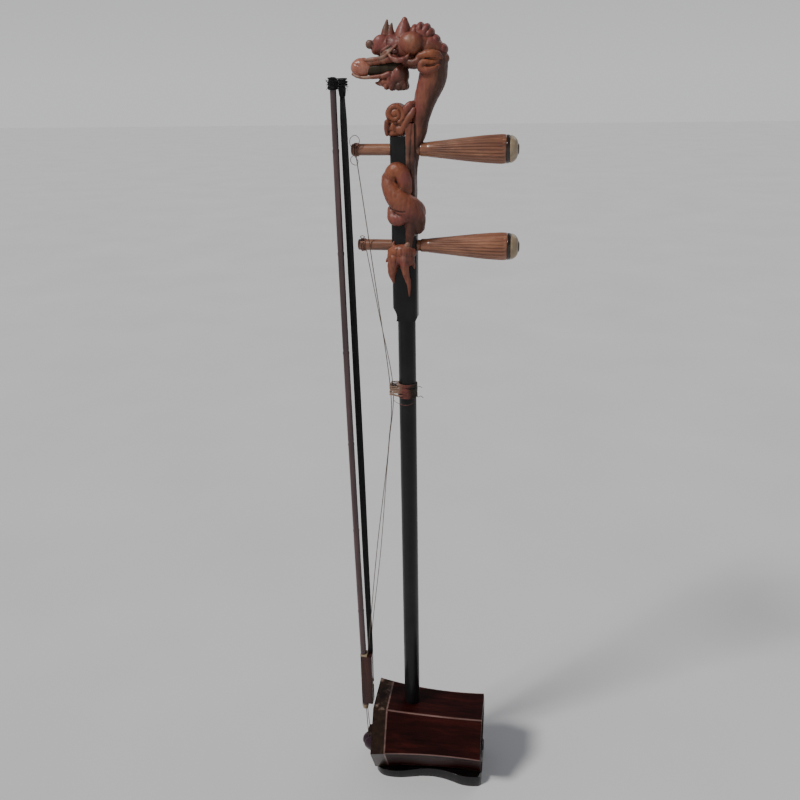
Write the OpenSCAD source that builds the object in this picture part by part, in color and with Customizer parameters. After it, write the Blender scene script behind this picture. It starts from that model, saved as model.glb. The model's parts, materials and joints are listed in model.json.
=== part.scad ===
// Erhu: two-stringed spike fiddle with a hexagonal sound box, a carved dragon head and its bow.
// Millimetres. +X points to the back (peg handles), -X to the skin, +Z up.
// The origin is on the neck's axis, at the underside of the base.

/* [Sound box] */
// Length of the sound box from front to back
box_len = 131; // [120:1:136]
// Distance from the neck's axis to the front of the sound box
box_front = 43.5; // [40:0.5:46]
// Corner radius of the hexagon at the front
front_r = 54; // [50:0.5:56]
// Corner radius of the hexagon at the back
back_r = 46.5; // [44:0.5:50]
// Depth of the waist halfway along
waist = 3.5; // [2:0.5:5]
// Thickness of the six staves
stave_t = 7; // [6:0.5:9]
// Width of the band over the turned-over rim of the skin
band_w = 15; // [12:0.5:18]
// Width of the pale inlay lines
inlay_w = 1.8; // [1:0.1:2.4]

/* [Base] */
// Thickness of the base under the front edge
base_t = 8; // [6:0.5:12]
// Half width of the base's front lobe
base_front_w = 32.8; // [30:0.2:36]
// Half width of the base's waist
base_waist_w = 25.4; // [23:0.2:28]
// Half width of the base's back lobe
base_back_w = 34; // [31:0.5:38]

/* [Neck] */
// Diameter of the round neck
neck_d = 18.2; // [16:0.1:19]
// Depth of the peg block from front to back
block_x = 25; // [22:0.5:28]
// Width of the peg block
block_y = 20; // [18:0.5:22]
// Height of the top of the peg block
block_top = 764; // [762:1:768]

/* [Pegs] */
// Height of the upper peg
upper_z = 752; // [750:0.5:753]
// Height of the lower peg
lower_z = 661.5; // [659:0.5:663]
// Diameter of the peg shafts
shaft_d = 10.9; // [10:0.1:11.5]
// Largest diameter of the fluted handles
handle_d = 26.6; // [22:0.2:28]
// Length of each peg
peg_len = 159; // [150:1:162]

/* [Strings and bridge] */
// Height of the thread that ties the strings to the neck
tie_z = 509; // [480:1:530]
// Height of the bridge on the skin
bridge_z = 40.5; // [39.5:0.5:44]
// Diameter of the inner string
inner_d = 0.9; // [0.6:0.05:1]
// Diameter of the outer string
outer_d = 0.8; // [0.5:0.05:0.9]

/* [Bow] */
// Height of the bow's tip
tip_z = 815; // [810:1:818]
// Diameter of the bow stick
stick_d = 7.4; // [6.6:0.1:7.8]
// Width of the ribbon of hair
hair_w = 5.5; // [4:0.5:5.5]
// How far the stick's tip leans away from the neck
lean = 6.2; // [5:0.2:8]

/* [Hidden] */

// sound box
xf = -box_front;
xb = box_len - box_front;
front_a = front_r * cos(30);
back_a = back_r * cos(30);
box_z = base_t + front_a;
chord = sqrt(pow(box_len, 2) + pow(front_a - back_a, 2));
tilt = atan((front_a - back_a) / box_len);
waist_r = (pow(chord / 2, 2) + pow(waist, 2)) / (2 * waist);
waist_x = (xf + xb) / 2 + (waist_r - waist) * sin(tilt);
waist_h = (front_a + back_a) / 2 + (waist_r - waist) * cos(tilt);
rim_t = 2;
band_t = 1.2;
skin_t = 0.6;
groove = 2;
xr = xf + band_w;
fine = 360;
// bridge and pad
string_x = -56.4;
pad_z = 24.6;
pad_r = 13.3;
// pegs
hole_d = shaft_d + 0.1;
peg_front = [-50.9, -47.5];
block_front = -block_x / 2 - 0.6;
block_back = block_x / 2 - 0.6;
grip_x = 15;
band_x = peg_len - 12;
band_len = 3.4;
cap_len = 7.2;
spine_x = 2;
spine_z = 672;
// bow
stick_x = -56.8;
stick_y = -12;
frog_lo = 97.5;
frog_hi = 168;
stick_lo = 94.3;
bend_lo = 170;
tip_x = stick_x - lean;
tip_y = stick_y - 3;
hair_points = [[-55, -12.9, tip_z - 12], [-50.8, 0.2, 172], [-49.5, -7.6, 138], [-49.5, -7.6, 130]];
screw_r = 1.5;
// base screws
screw_xs = [-20, 34, 66];

// One ring of points square to dir, around c; across is any direction that dir never takes
function ring(c, dir, rad, n, across) =
    let (d = dir / norm(dir), a = cross(across, d) / norm(cross(across, d)), b = cross(d, a))
    [for (i = [0:n - 1]) c + rad * (cos(360 * i / n) * a + sin(360 * i / n) * b)];

// Smooth curve through hand-set points, steps points to each span
function spline(p, steps) = [for (i = [0:len(p) - 2], k = [0:steps - 1])
    let (t = k / steps, a = p[max(i - 1, 0)], b = p[i], c = p[i + 1], d = p[min(i + 2, len(p) - 1)])
    0.5 * (2 * b + (c - a) * t + (2 * a - 5 * b + 4 * c - d) * t * t
        + (3 * b - a - 3 * c + d) * t * t * t), p[len(p) - 1]];

// Solid tube along a list of points [x, y, z, radius]
module tube(path, sides, across = [0, 1, 0]) {
    n = len(path);
    pts = [for (i = [0:n - 1])
        let (a = path[max(i - 1, 0)], b = path[min(i + 1, n - 1)], p = path[i])
        each ring([p[0], p[1], p[2]], [b[0] - a[0], b[1] - a[1], b[2] - a[2]], p[3], sides, across)];
    walls = [for (i = [0:n - 2], k = [0:sides - 1])
        let (m = (k + 1) % sides)
        [i * sides + k, (i + 1) * sides + k, (i + 1) * sides + m, i * sides + m]];
    polyhedron(points = pts, faces = concat([[for (k = [0:sides - 1]) k]], walls,
        [[for (k = [sides - 1:-1:0]) (n - 1) * sides + k]]), convexity = 6);
}

module along_x(x, z) {
    translate([x, 0, z]) rotate([0, 90, 0]) children();
}

// Cylinder that forms a waisted face, set in from the outside by inset
module waist_face(inset) {
    translate([waist_x, 0, waist_h]) rotate([90, 0, 0])
        cylinder(r = waist_r + inset, h = 130, center = true, $fn = fine);
}

// Layer of one waisted face between two depths, between x0 and x1, mitred at 30 degrees
module face_layer(outer, inner, x0, x1) {
    difference() {
        intersection() {
            translate([x0, 0, 0]) rotate([90, 0, 90]) linear_extrude(height = x1 - x0)
                polygon([[0, 0], [65 * tan(30), 65], [-65 * tan(30), 65]]);
            waist_face(inner);
        }
        waist_face(outer);
    }
}

// Six-sided waisted block around the box's axis, set in from the outside by inset
module waisted_block(inset, x0, x1) {
    difference() {
        translate([x0, -60, box_z - 60]) cube([x1 - x0, 120, 120]);
        for (k = [0:5]) on_face(k) waist_face(inset);
    }
}

// Six-sided layer between two depths
module waisted_layer(outer, inner, x0, x1) {
    difference() {
        waisted_block(outer, x0, x1);
        waisted_block(inner, x0 - 1, x1 + 1);
    }
}

module on_face(k) {
    translate([0, 0, box_z]) rotate([60 * k, 0, 0]) children();
}

// Thin slab on the mitre plane at one edge of a face
module edge_slab(side, x0) {
    rotate([30 * side, 0, 0]) translate([x0, -inlay_w / 2, 30]) cube([xb - x0 + 1, inlay_w, 40]);
}

module stave(k) {
    on_face(k) difference() {
        union() {
            face_layer(rim_t, stave_t, xf, xb);
            face_layer(0, rim_t + 0.5, xr + inlay_w, xb);
        }
        for (side = [-1, 1]) intersection() {
            edge_slab(side, xr);
            waist_face(groove);
        }
    }
}

module neck_hole() {
    cylinder(d = neck_d + 0.04, h = 200, $fn = 64);
}

module stave_top() {
    color("#4a211b") difference() {
        stave(0);
        neck_hole();
    }
}
module stave_upper_far() {
    color("#4a211b") stave(-1);
}
module stave_lower_far() {
    color("#4a211b") stave(-2);
}
module stave_bottom() {
    color("#4a211b") difference() {
        stave(3);
        neck_hole();
        base_screw_holes(1.6);
    }
}
module stave_lower_near() {
    color("#4a211b") stave(2);
}
module stave_upper_near() {
    color("#4a211b") stave(1);
}

// Six pale strips let into the long edges
module edge_inlays() {
    color("#c9a98c") for (k = [0:5]) intersection() {
        waisted_layer(0, groove, xr + inlay_w, xb);
        on_face(k) edge_slab(1, xr);
    }
}

module ring_inlay() {
    color("#c9a98c") waisted_layer(0, rim_t, xr, xr + inlay_w);
}

module front_band() {
    color("#2e2019") waisted_layer(0, band_t, xf - skin_t, xr);
}

module snake_skin() {
    color("#6b6046") union() {
        waisted_layer(band_t, rim_t, xf - skin_t, xr);
        waisted_block(rim_t - 0.1, xf - skin_t, xf);
    }
}

module back_ring() {
    color("#33191a") waisted_layer(stave_t, stave_t + 4, xb - 9, xb);
}

// Pierced window inside the open back
module sound_window() {
    color("#3b1d18") difference() {
        waisted_block(stave_t, xb - 12, xb - 9);
        along_x(xb - 20, box_z) cylinder(d = 14, h = 20, $fn = 48);
        for (k = [0:5]) translate([0, 0, box_z]) rotate([60 * k, 0, 0]) {
            along_x(xb - 20, 15) cylinder(d = 9, h = 20, $fn = 32);
            rotate([30, 0, 0]) along_x(xb - 20, 21) cylinder(d = 6, h = 20, $fn = 32);
            translate([xb - 20, -2, 22]) cube([20, 4, 5]);
        }
    }
}

// base
module base_outline() {
    lobe = spline([[xf - 0.5, 18], [xf + 2, 24.5], [xf + 8, base_front_w - 2.6], [xf + 17, base_front_w],
        [xf + 32, base_front_w - 0.4], [xf + 47, base_front_w - 3.6], [xf + 59, base_waist_w + 1],
        [xf + 72, base_waist_w], [xf + 85, base_waist_w + 1.2], [xf + 97, base_back_w - 4.2],
        [xf + 108, base_back_w - 0.8], [xf + 119, base_back_w], [xb - 1.5, base_back_w - 1.6],
        [xb + 1.2, base_back_w - 5], [xb + 1.5, base_back_w - 10]], 5);
    polygon(concat(lobe, [for (i = [len(lobe) - 1:-1:0]) [lobe[i][0], -lobe[i][1]]]));
}

module base_screw_holes(r) {
    for (x = screw_xs) translate([x, 0, -1]) cylinder(r = r, h = 24, $fn = 32);
}

module base_screw_seats(clear) {
    for (x = screw_xs) translate([x, 0, -1]) cylinder(r = 3.6 + clear, h = 4, $fn = 32);
}

module base() {
    color("#17120f") difference() {
        intersection() {
            linear_extrude(height = 24) base_outline();
            rotate([90, 0, 0]) linear_extrude(height = 100, center = true)
                polygon([[-60, -1], [110, -1], [110, 16.5], [-60, base_t + 0.5]]);
        }
        on_face(3) intersection() {
            translate([-100, -60, 0]) cube([200, 120, 65]);
            waist_face_inside();
        }
        on_face(2) base_side_cut();
        on_face(4) base_side_cut();
        translate([0, 0, 5]) neck_hole();
        base_screw_holes(1.6);
        base_screw_seats(0.05);
        for (s = [-1, 1]) translate([xf - 2, s * 5, 4]) rotate([0, 90, 0])
            cylinder(r = 1.5, h = 10, $fn = 24);
    }
}

// Everything on the box's side of a waisted face
module waist_face_inside() {
    difference() {
        translate([-99, -59, -1]) cube([198, 118, 60]);
        waist_face(0);
    }
}

module base_side_cut() {
    intersection() {
        translate([-100, -30, 0]) cube([200, 60, 65]);
        waist_face_inside();
    }
}

module base_screws() {
    color("#8a7a4a") for (x = screw_xs) translate([x, 0, 0]) difference() {
        union() {
            translate([0, 0, 0.6]) cylinder(r = 3.6, h = 2.4, $fn = 32);
            translate([0, 0, 3]) cylinder(r = 1.55, h = 12, $fn = 32);
        }
        translate([-4, -0.4, 0]) cube([8, 0.8, 1.4]);
    }
}

// neck
module block_profile() {
    difference() {
        translate([block_front, 586]) square([block_x, block_top - 586]);
        translate([block_front - 7, 590]) circle(r = 11.6, $fn = 96);
        translate([block_back + 15, 580]) circle(r = 17.8, $fn = 96);
        translate([spine_x, spine_z]) square([30, 200]);
    }
}

module block_section(grow) {
    r = 6;
    hx = block_x / 2 + grow;
    hy = block_y / 2 + grow;
    translate([-0.6, 0]) union() {
        square([2 * hx - 2 * r, 2 * hy], center = true);
        square([2 * hx, 2 * hy - 2 * r], center = true);
        for (a = [-1, 1], b = [-1, 1]) translate([a * (hx - r), b * (hy - r)]) circle(r = r, $fn = 48);
    }
}

module neck() {
    color("#1d1b1c") difference() {
        union() {
            translate([0, 0, 5]) cylinder(d = neck_d, h = 595, $fn = 64);
            intersection() {
                translate([0, 0, 586]) linear_extrude(height = block_top - 586) block_section(0);
                rotate([90, 0, 0]) linear_extrude(height = 40, center = true) block_profile();
            }
        }
        for (z = [lower_z, upper_z]) along_x(-30, z) cylinder(d = hole_d, h = 60, $fn = 64);
    }
}

// Space of the neck and the pegs, kept free by the carving
module neck_space(grow) {
    translate([0, 0, 560]) cylinder(d = neck_d + 2 * grow, h = 60, $fn = 48);
    translate([0, 0, 590]) linear_extrude(height = block_top - 590 + grow) block_section(grow);
    for (z = [lower_z, upper_z]) along_x(-60, z) cylinder(d = shaft_d + 2.4, h = 74, $fn = 32);
    for (z = [lower_z, upper_z]) along_x(13.9, z) cylinder(r1 = 7, r2 = 14, h = 60, $fn = 32);
}

// dragon
arch = [[9, 0, 738, 4], [10.5, 0, 756, 6.5], [14, 0, 768, 8.2], [16, 0, 780, 8.8],
    [20.5, 0, 797, 11.2], [27, 0, 814, 13.6], [30, 0, 829, 13]];
coil = [for (a = [0:18:342]) let (t = a / 342)
    [-0.6 - 13.5 * cos(a - 70), -12.5 * sin(a - 70), 733 - 52 * t, 9.2 - 2.6 * t * t]];

module ball(x, y, z, r) {
    translate([x, y, z]) sphere(r = r, $fn = 16);
}

// Rounded limb between two balls
module limb(a, b) {
    hull() {
        ball(a[0], a[1], a[2], a[3]);
        ball(b[0], b[1], b[2], b[3]);
    }
}

// Arched neck of the dragon, with the part that backs the peg block
module dragon_neck() {
    color("#7f3b2b") difference() {
        union() {
            tube(spline(arch, 3), 14);
            intersection() {
                translate([0, 0, spine_z + 0.2]) linear_extrude(height = 104) block_section(-0.1);
                translate([spine_x + 0.2, -20, 600]) cube([30, 40, 200]);
            }
        }
        for (z = [lower_z, upper_z]) along_x(-30, z) cylinder(d = hole_d + 0.6, h = 60, $fn = 48);
        for (z = [lower_z, upper_z]) along_x(13.9, z) cylinder(r = 8, h = 60, $fn = 48);
        translate([-40, -20, 700]) cube([40 + spine_x + 0.2, 40, block_top - 700 + 0.2]);
    }
}

module dragon_head() {
    color("#8d4230") difference() {
        union() {
            limb([21, 0, 841.2, 13.2], [-2, 0, 842, 13.6]);
            limb([1, 0, 846.5, 10.7], [-29, 0, 845.2, 7]);
            limb([6, 0, 822.4, 10.2], [-4, 0, 813.1, 9]);
            limb([-3.1, 0, 812.2, 7.6], [-25, 0, 811.3, 2.5]);
            limb([0.7, 0, 826.8, 6.3], [-30, 0, 828.1, 3.5]);
            limb([2.2, 0, 852.7, 7.8], [1.4, 0, 865, 1.4]);
            for (a = [58, 31, 4]) limb([19 + 14 * cos(a), 0, 838 + 14 * sin(a), 7],
                [19 + 22 * cos(a), 0, 838 + 22 * sin(a), 2]);
        }
        dragon_space();
        ball(-39.6, 0, 825.4, 8.6);
    }
}

module dragon_pearl() {
    color("#a5533a") ball(-39.6, 0, 825.4, 8);
}

module dragon_eyes() {
    color("#2a0f0c") for (s = [-1, 1]) translate([-4, s * 14, 838]) rotate([-90 * s, 0, 0])
        cylinder(r1 = 3, r2 = 2, h = 2, $fn = 32);
}

module cloud_scroll() {
    color("#94482f") difference() {
        union() {
            translate([-6.9, 10.5, 784]) rotate([90, 0, 0]) cylinder(r = 10, h = 21, $fn = 64);
            translate([-15.5, -10, block_top]) cube([17.6, 20, 17]);
            translate([-0.5, -9, block_top + 12.2]) cube([10.5, 18, 16]);
        }
        dragon_space();
    }
}

module dragon_space() {
    tube(spline([for (p = arch) [p[0], p[1], p[2], p[3] + 0.2]], 3), 14);
}

module dragon_coil() {
    color("#8f4430") difference() {
        union() {
            tube(coil, 12, [0, 0, 1]);
            limb([-6, -9, 731, 9], [2, -9, 722, 7]);
            limb([-11, -7, 722, 11], [7, -7, 692, 11.5]);
            limb([-8.5, -9, 686, 6.8], [-2, -10, 690, 8]);
        }
        neck_space(0.15);
        dragon_space();
    }
}

module dragon_claw() {
    color("#8d4230") difference() {
        union() {
            limb([-5, -10, 656, 8], [5, -9, 651, 7]);
            limb([-6, -11, 655, 7], [-13, -8, 644, 6]);
            limb([-13, -8, 644, 5.5], [-12.5, -8, 626, 2]);
            limb([1, -11, 646, 5], [2.5, -10, 613, 1.6]);
            limb([-6, -11, 650, 4], [-5.6, -10.5, 664, 2]);
        }
        neck_space(0.15);
    }
}

// pegs
module peg(z, front) {
    along_x(front, z) cylinder(d = shaft_d, h = grip_x - front, $fn = 64);
    len_grip = front + band_x - grip_x;
    along_x(grip_x, z) rotate_extrude($fn = 96) polygon([[0, 0], [5.9, 0], [6.4, 1.5], [6.6, 7],
        [7.1, 10], [8.4, 0.28 * len_grip], [10.6, 0.52 * len_grip], [12.4, 0.74 * len_grip],
        [handle_d / 2 - 0.1, 0.9 * len_grip], [handle_d / 2, 0.95 * len_grip],
        [handle_d / 2 - 0.3, len_grip], [0, len_grip]]);
}

module peg_turned(z, front, from, profile) {
    along_x(front + band_x + from, z) rotate_extrude($fn = 96) polygon(profile);
}

module peg_band(z, front) {
    color("#38231a") peg_turned(z, front, 0,
        [[0, 0], [handle_d / 2 - 0.3, 0], [handle_d / 2 - 0.8, band_len], [0, band_len]]);
}

module peg_cap(z, front) {
    color("#e4d8b8") peg_turned(z, front, band_len,
        [[0, 0], [handle_d / 2 - 0.9, 0], [12, 2.2], [10.6, 4.4], [8.4, 6.2], [6, cap_len], [0, cap_len]]);
}

module peg_button(z, front) {
    color("#4b3a2c") peg_turned(z, front, band_len + cap_len,
        [[0, 0], [5.2, 0], [4.4, 0.9], [2.6, 1.4], [0, 1.4]]);
}

// Turns of string round the end of a peg
module winding(x, z) {
    color("#7a5a4a") along_x(x, z) difference() {
        cylinder(d = shaft_d + 1.9, h = 5, $fn = 64);
        translate([0, 0, -1]) cylinder(d = shaft_d + 0.02, h = 7, $fn = 64);
    }
}

module upper_peg() {
    color("#b06a45") peg(upper_z, peg_front[0]);
}
module upper_peg_band() {
    peg_band(upper_z, peg_front[0]);
}
module upper_peg_cap() {
    peg_cap(upper_z, peg_front[0]);
}
module upper_peg_button() {
    peg_button(upper_z, peg_front[0]);
}
module upper_winding() {
    winding(-48.5, upper_z);
}
module lower_peg() {
    color("#b06a45") peg(lower_z, peg_front[1]);
}
module lower_peg_band() {
    peg_band(lower_z, peg_front[1]);
}
module lower_peg_cap() {
    peg_cap(lower_z, peg_front[1]);
}
module lower_peg_button() {
    peg_button(lower_z, peg_front[1]);
}
module lower_winding() {
    winding(-44.5, lower_z);
}

// strings, bridge and fittings
inner_route = [[-46, -6.95, upper_z], [-32.2, -6.6, 640], [-17.4, -5.6, tie_z], [-20.4, -5.4, 452],
    [-26, -5.2, 403], [-37.8, -4.9, 311], [-49, -4.7, 204], [-54.4, -4.8, 150], [-57.6, -4.9, 98],
    [string_x, -5, bridge_z + 2.4], [string_x, -5, bridge_z - 2.4], [-52.6, -5, 13.2], [-45.5, -5, 4.2]];
outer_route = [[-42, 6.95, lower_z], [-30, 6.5, 590], [-16.6, 5.4, tie_z], [-22, 5.2, 446],
    [-26.8, 5.1, 397], [-35.2, 4.9, 305], [-47.5, 4.8, 204], [-57.9, 4.9, 98],
    [string_x, 5, bridge_z + 2.4], [string_x, 5, bridge_z - 2.4], [-52.6, 5, 13.2], [-45.5, 5, 4.2]];

module inner_string() {
    color("#6c6660") tube([for (p = inner_route) [p[0], p[1], p[2], inner_d / 2]], 8);
}

module outer_string() {
    color("#6c6660") tube([for (p = outer_route) [p[0], p[1], p[2], outer_d / 2]], 8);
}

module bridge() {
    color("#3a2018") difference() {
        translate([0, 0, bridge_z - 2]) linear_extrude(height = 4) difference() {
            polygon([for (s = [-1, 1], p = [[xf - skin_t, 12], [xf - skin_t - 2.5, 12], [string_x + 4, 8],
                [string_x - 0.8, 7.2]]) s < 0 ? [p.x, -p.y] : p], [[0, 1, 2, 3, 7, 6, 5, 4]]);
            translate([xf - skin_t, 0]) circle(r = 6, $fn = 48);
        }
        for (s = [-1, 1]) translate([string_x - 1, 5 * s, bridge_z - 6])
            cylinder(r = 1.5, h = 12, $fn = 24);
    }
}

// Felt pad under the bridge, with a groove for each string
module damper_pad() {
    color("#5a2f45") difference() {
        translate([xf - skin_t, 0, pad_z]) rotate([0, -90, 0]) rotate_extrude($fn = 64)
            polygon([[0, 0], [10.6, 0], [pad_r, 3], [pad_r, 7], [pad_r - 1.4, 12], [pad_r - 4.6, 17],
                [pad_r - 8.4, 19.6], [0, 20.6]]);
        for (s = [-1, 1]) translate([-70, 5 * s - 1.2, pad_z - 20]) cube([19, 2.4, 40]);
    }
}

module string_pins() {
    color("#b99a55") for (s = [-1, 1]) translate([xf - 4.2, s * 5, 4]) rotate([0, 90, 0])
        difference() {
            union() {
                cylinder(r = 1.45, h = 12, $fn = 24);
                cylinder(r = 2.3, h = 1, $fn = 32);
            }
            translate([-3, -0.5, 1.6]) cube([6, 1, 1.2]);
        }
}

// Thread wound round the neck and out to both strings
module string_tie() {
    color("#a3623f") translate([0, 0, tie_z - 9]) linear_extrude(height = 18) difference() {
        union() {
            circle(d = neck_d + 4.2, $fn = 64);
            polygon([[-18.6, -6.6], [-18.6, 6.6], [-4, 9.4], [-4, -9.4]]);
        }
        circle(d = neck_d + 0.04, $fn = 64);
        translate([-17.4, -5.6]) circle(r = 0.7, $fn = 24);
        translate([-16.6, 5.4]) circle(r = 0.7, $fn = 24);
    }
}

// bow
function stick_at(z) = let (t = (z - bend_lo) / (tip_z - bend_lo))
    [stick_x - lean * sin(90 * t), stick_y - 3 * t, z, stick_d / 2 - 0.15 - 0.55 * t];

module bow_stick() {
    color("#6f3b33") difference() {
        union() {
            translate([stick_x, stick_y, stick_lo])
                cylinder(d = stick_d, h = bend_lo - stick_lo, $fn = 64);
            tube([for (i = [0:24]) stick_at(bend_lo - 3 + (tip_z - bend_lo + 3) * i / 24)], 12);
        }
        translate([stick_x, stick_y, stick_lo - 1]) cylinder(r = screw_r + 0.05, h = 28, $fn = 32);
        translate([stick_x - 2.1, stick_y - 2.3, frog_lo + 3.5]) cube([4.2, 7.3, 14]);
    }
}

module bow_hair() {
    color("#1c1714") for (i = [1:len(hair_points) - 1]) hair_run(hair_points[i - 1], hair_points[i]);
}

// Flat bundle of hair from one point to another
module hair_run(a, b) {
    hull() {
        translate(a) cube([hair_w, 2.4, 0.4], center = true);
        translate(b) cube([hair_w, 2.4, 0.4], center = true);
    }
}

module hair_knot() {
    color("#100e0d") translate([-49.5, -7.6, 127.6]) cube([hair_w, 3.2, 4.4], center = true);
}

module bow_tip_binding() {
    color("#161312") translate([tip_x, tip_y, tip_z - 6]) linear_extrude(height = 8) difference() {
        hull() {
            circle(r = 4.7, $fn = 48);
            translate([hair_points[0].x - tip_x, 2]) circle(r = 3.4, $fn = 48);
        }
        circle(r = 3.6, $fn = 32);
    }
}

module tip_knot() {
    color("#1a1615") translate([hair_points[0].x, tip_y + 2.4, tip_z - 8.9]) sphere(r = 2.85, $fn = 24);
}

module bow_frog() {
    color("#3d2420") difference() {
        translate([-59.9, -16.6, frog_lo]) linear_extrude(height = frog_hi - frog_lo)
            difference() {
                square([13.4, 10.9]);
                for (a = [0, 1], b = [0, 1]) translate([13.4 * a, 10.9 * b]) rotate(90 * (a + b))
                    square(0.8, center = true);
            }
        translate([stick_x, stick_y, frog_lo - 1])
            cylinder(d = stick_d + 0.1, h = frog_hi - frog_lo + 2, $fn = 64);
        translate([-52.9, -9.8, 120]) cube([6.8, 5, 43]);
        translate([stick_x - 2.05, stick_y, frog_lo + 7.1]) cube([4.1, 5.6, 5]);
    }
}

module frog_ferrule() {
    color("#cdb98a") translate([0, 0, frog_hi]) linear_extrude(height = 2.6) difference() {
        translate([-60.1, -16.4]) square([8, 9.6]);
        translate([stick_x, stick_y]) circle(d = stick_d + 0.1, $fn = 64);
    }
}

module frog_nut() {
    color("#b99a55") difference() {
        translate([stick_x - 1.95, stick_y - 2.1, frog_lo + 7.2]) cube([3.9, 7.6, 4.8]);
        translate([stick_x, stick_y, 90]) cylinder(r = screw_r + 0.05, h = 30, $fn = 32);
    }
}

module bow_screw() {
    color("#d8c79a") translate([stick_x, stick_y, stick_lo - 7.7]) {
        translate([0, 0, 7.4]) cylinder(r = screw_r, h = 25, $fn = 32);
        rotate_extrude($fn = 48) polygon([[0, 0], [2, 0.3], [3.2, 1.2], [3.5, 2.6], [3.1, 3.6],
            [4, 4.6], [4, 7.4], [0, 7.4]]);
    }
}

neck();
base();
base_screws();
stave_top();
stave_upper_near();
stave_lower_near();
stave_bottom();
stave_lower_far();
stave_upper_far();
edge_inlays();
ring_inlay();
snake_skin();
front_band();
back_ring();
sound_window();
bridge();
damper_pad();
string_pins();
inner_string();
outer_string();
string_tie();
dragon_neck();
dragon_head();
dragon_pearl();
dragon_eyes();
cloud_scroll();
dragon_coil();
dragon_claw();
upper_peg();
upper_peg_band();
upper_peg_cap();
upper_peg_button();
upper_winding();
lower_peg();
lower_peg_band();
lower_peg_cap();
lower_peg_button();
lower_winding();
bow_stick();
bow_hair();
bow_tip_binding();
hair_knot();
tip_knot();
bow_frog();
frog_ferrule();
frog_nut();
bow_screw();
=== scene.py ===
import json
import math
import random

import bmesh
import bpy
import numpy as np
from mathutils import Matrix, Vector
from mathutils import noise as perlin


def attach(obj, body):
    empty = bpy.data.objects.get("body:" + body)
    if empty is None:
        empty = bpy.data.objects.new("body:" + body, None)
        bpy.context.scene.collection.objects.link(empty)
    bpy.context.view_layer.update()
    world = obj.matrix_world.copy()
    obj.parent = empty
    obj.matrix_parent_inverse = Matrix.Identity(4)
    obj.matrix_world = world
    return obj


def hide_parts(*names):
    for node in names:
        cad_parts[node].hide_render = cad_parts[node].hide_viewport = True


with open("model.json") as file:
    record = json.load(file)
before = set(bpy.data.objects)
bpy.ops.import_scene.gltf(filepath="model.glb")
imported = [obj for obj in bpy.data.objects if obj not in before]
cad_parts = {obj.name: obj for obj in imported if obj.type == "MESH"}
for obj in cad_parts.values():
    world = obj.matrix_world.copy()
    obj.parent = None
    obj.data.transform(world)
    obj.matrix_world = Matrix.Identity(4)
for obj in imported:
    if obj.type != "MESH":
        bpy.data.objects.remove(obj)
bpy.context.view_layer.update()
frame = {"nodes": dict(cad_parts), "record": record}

# Lengths in the shape code are millimetres in the part's frame: -X front, +X back, -Y near side, +Z up
MM = 0.001
NEAR_FAR = (-1, 1)

# Places shared by several pieces
UPPER_Z = 752.0
LOWER_Z = 661.5
UPPER_FRONT = -50.9
LOWER_FRONT = -47.5
SHAFT_R = 5.45
GRIP_X = 15.0
PEG_LEN = 159.0
CAP_LEN = 12.0
NECK_R = 9.1
TIE_Z = 509.0
SKIN_X = -44.1
PAD_Z = 24.6
STICK_X = -56.8
STICK_Y = -12.0
STICK_LO = 94.3
BEND_LO = 170.0
TIP_Z = 815.0
LEAN = 6.2
TIP_KNOT = (-55.0, -12.6)
HAIR_END = (-49.5, -7.6)
SCROLL = (-6.9, 784.2)

# Camera
LENS = 36.746
SENSOR = 36
CAMERA_PLACE = (0.121885, -0.795874, 0.818351)
CAMERA_YAW, CAMERA_PITCH, CAMERA_ROLL = 9.3059, -21.7607, 1.0536


# ---------------------------------------------------------------- curves

def spline(points, steps):
    """Smooth curve through given points of any length, steps points to each span."""
    out = []
    last = len(points) - 1
    for i in range(last):
        a, b = points[max(i - 1, 0)], points[i]
        c, d = points[i + 1], points[min(i + 2, last)]
        for k in range(steps):
            t = k / steps
            out.append(tuple(
                0.5 * (2 * q + (r - p) * t + (2 * p - 5 * q + 4 * r - s) * t * t
                       + (3 * q - p - 3 * r + s) * t ** 3)
                for p, q, r, s in zip(a, b, c, d)))
    out.append(tuple(points[-1]))
    return out


def helix(start, axis, side, radius, turns, pitch, phase=0.0, per_turn=24):
    """Points winding round an axis. side is any direction square to the axis."""
    axis, side = Vector(axis).normalized(), Vector(side).normalized()
    third = axis.cross(side)
    count = max(2, int(turns * per_turn))
    out = []
    for i in range(count + 1):
        turn = turns * i / count
        angle = math.tau * turn + phase
        offset = radius * (math.cos(angle) * side + math.sin(angle) * third)
        out.append(tuple(Vector(start) + axis * pitch * turn + offset))
    return out


def angles(count):
    """Evenly spaced angles round a circle."""
    return [math.tau * k / count for k in range(count)]


# ---------------------------------------------------------------- shapes

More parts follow.
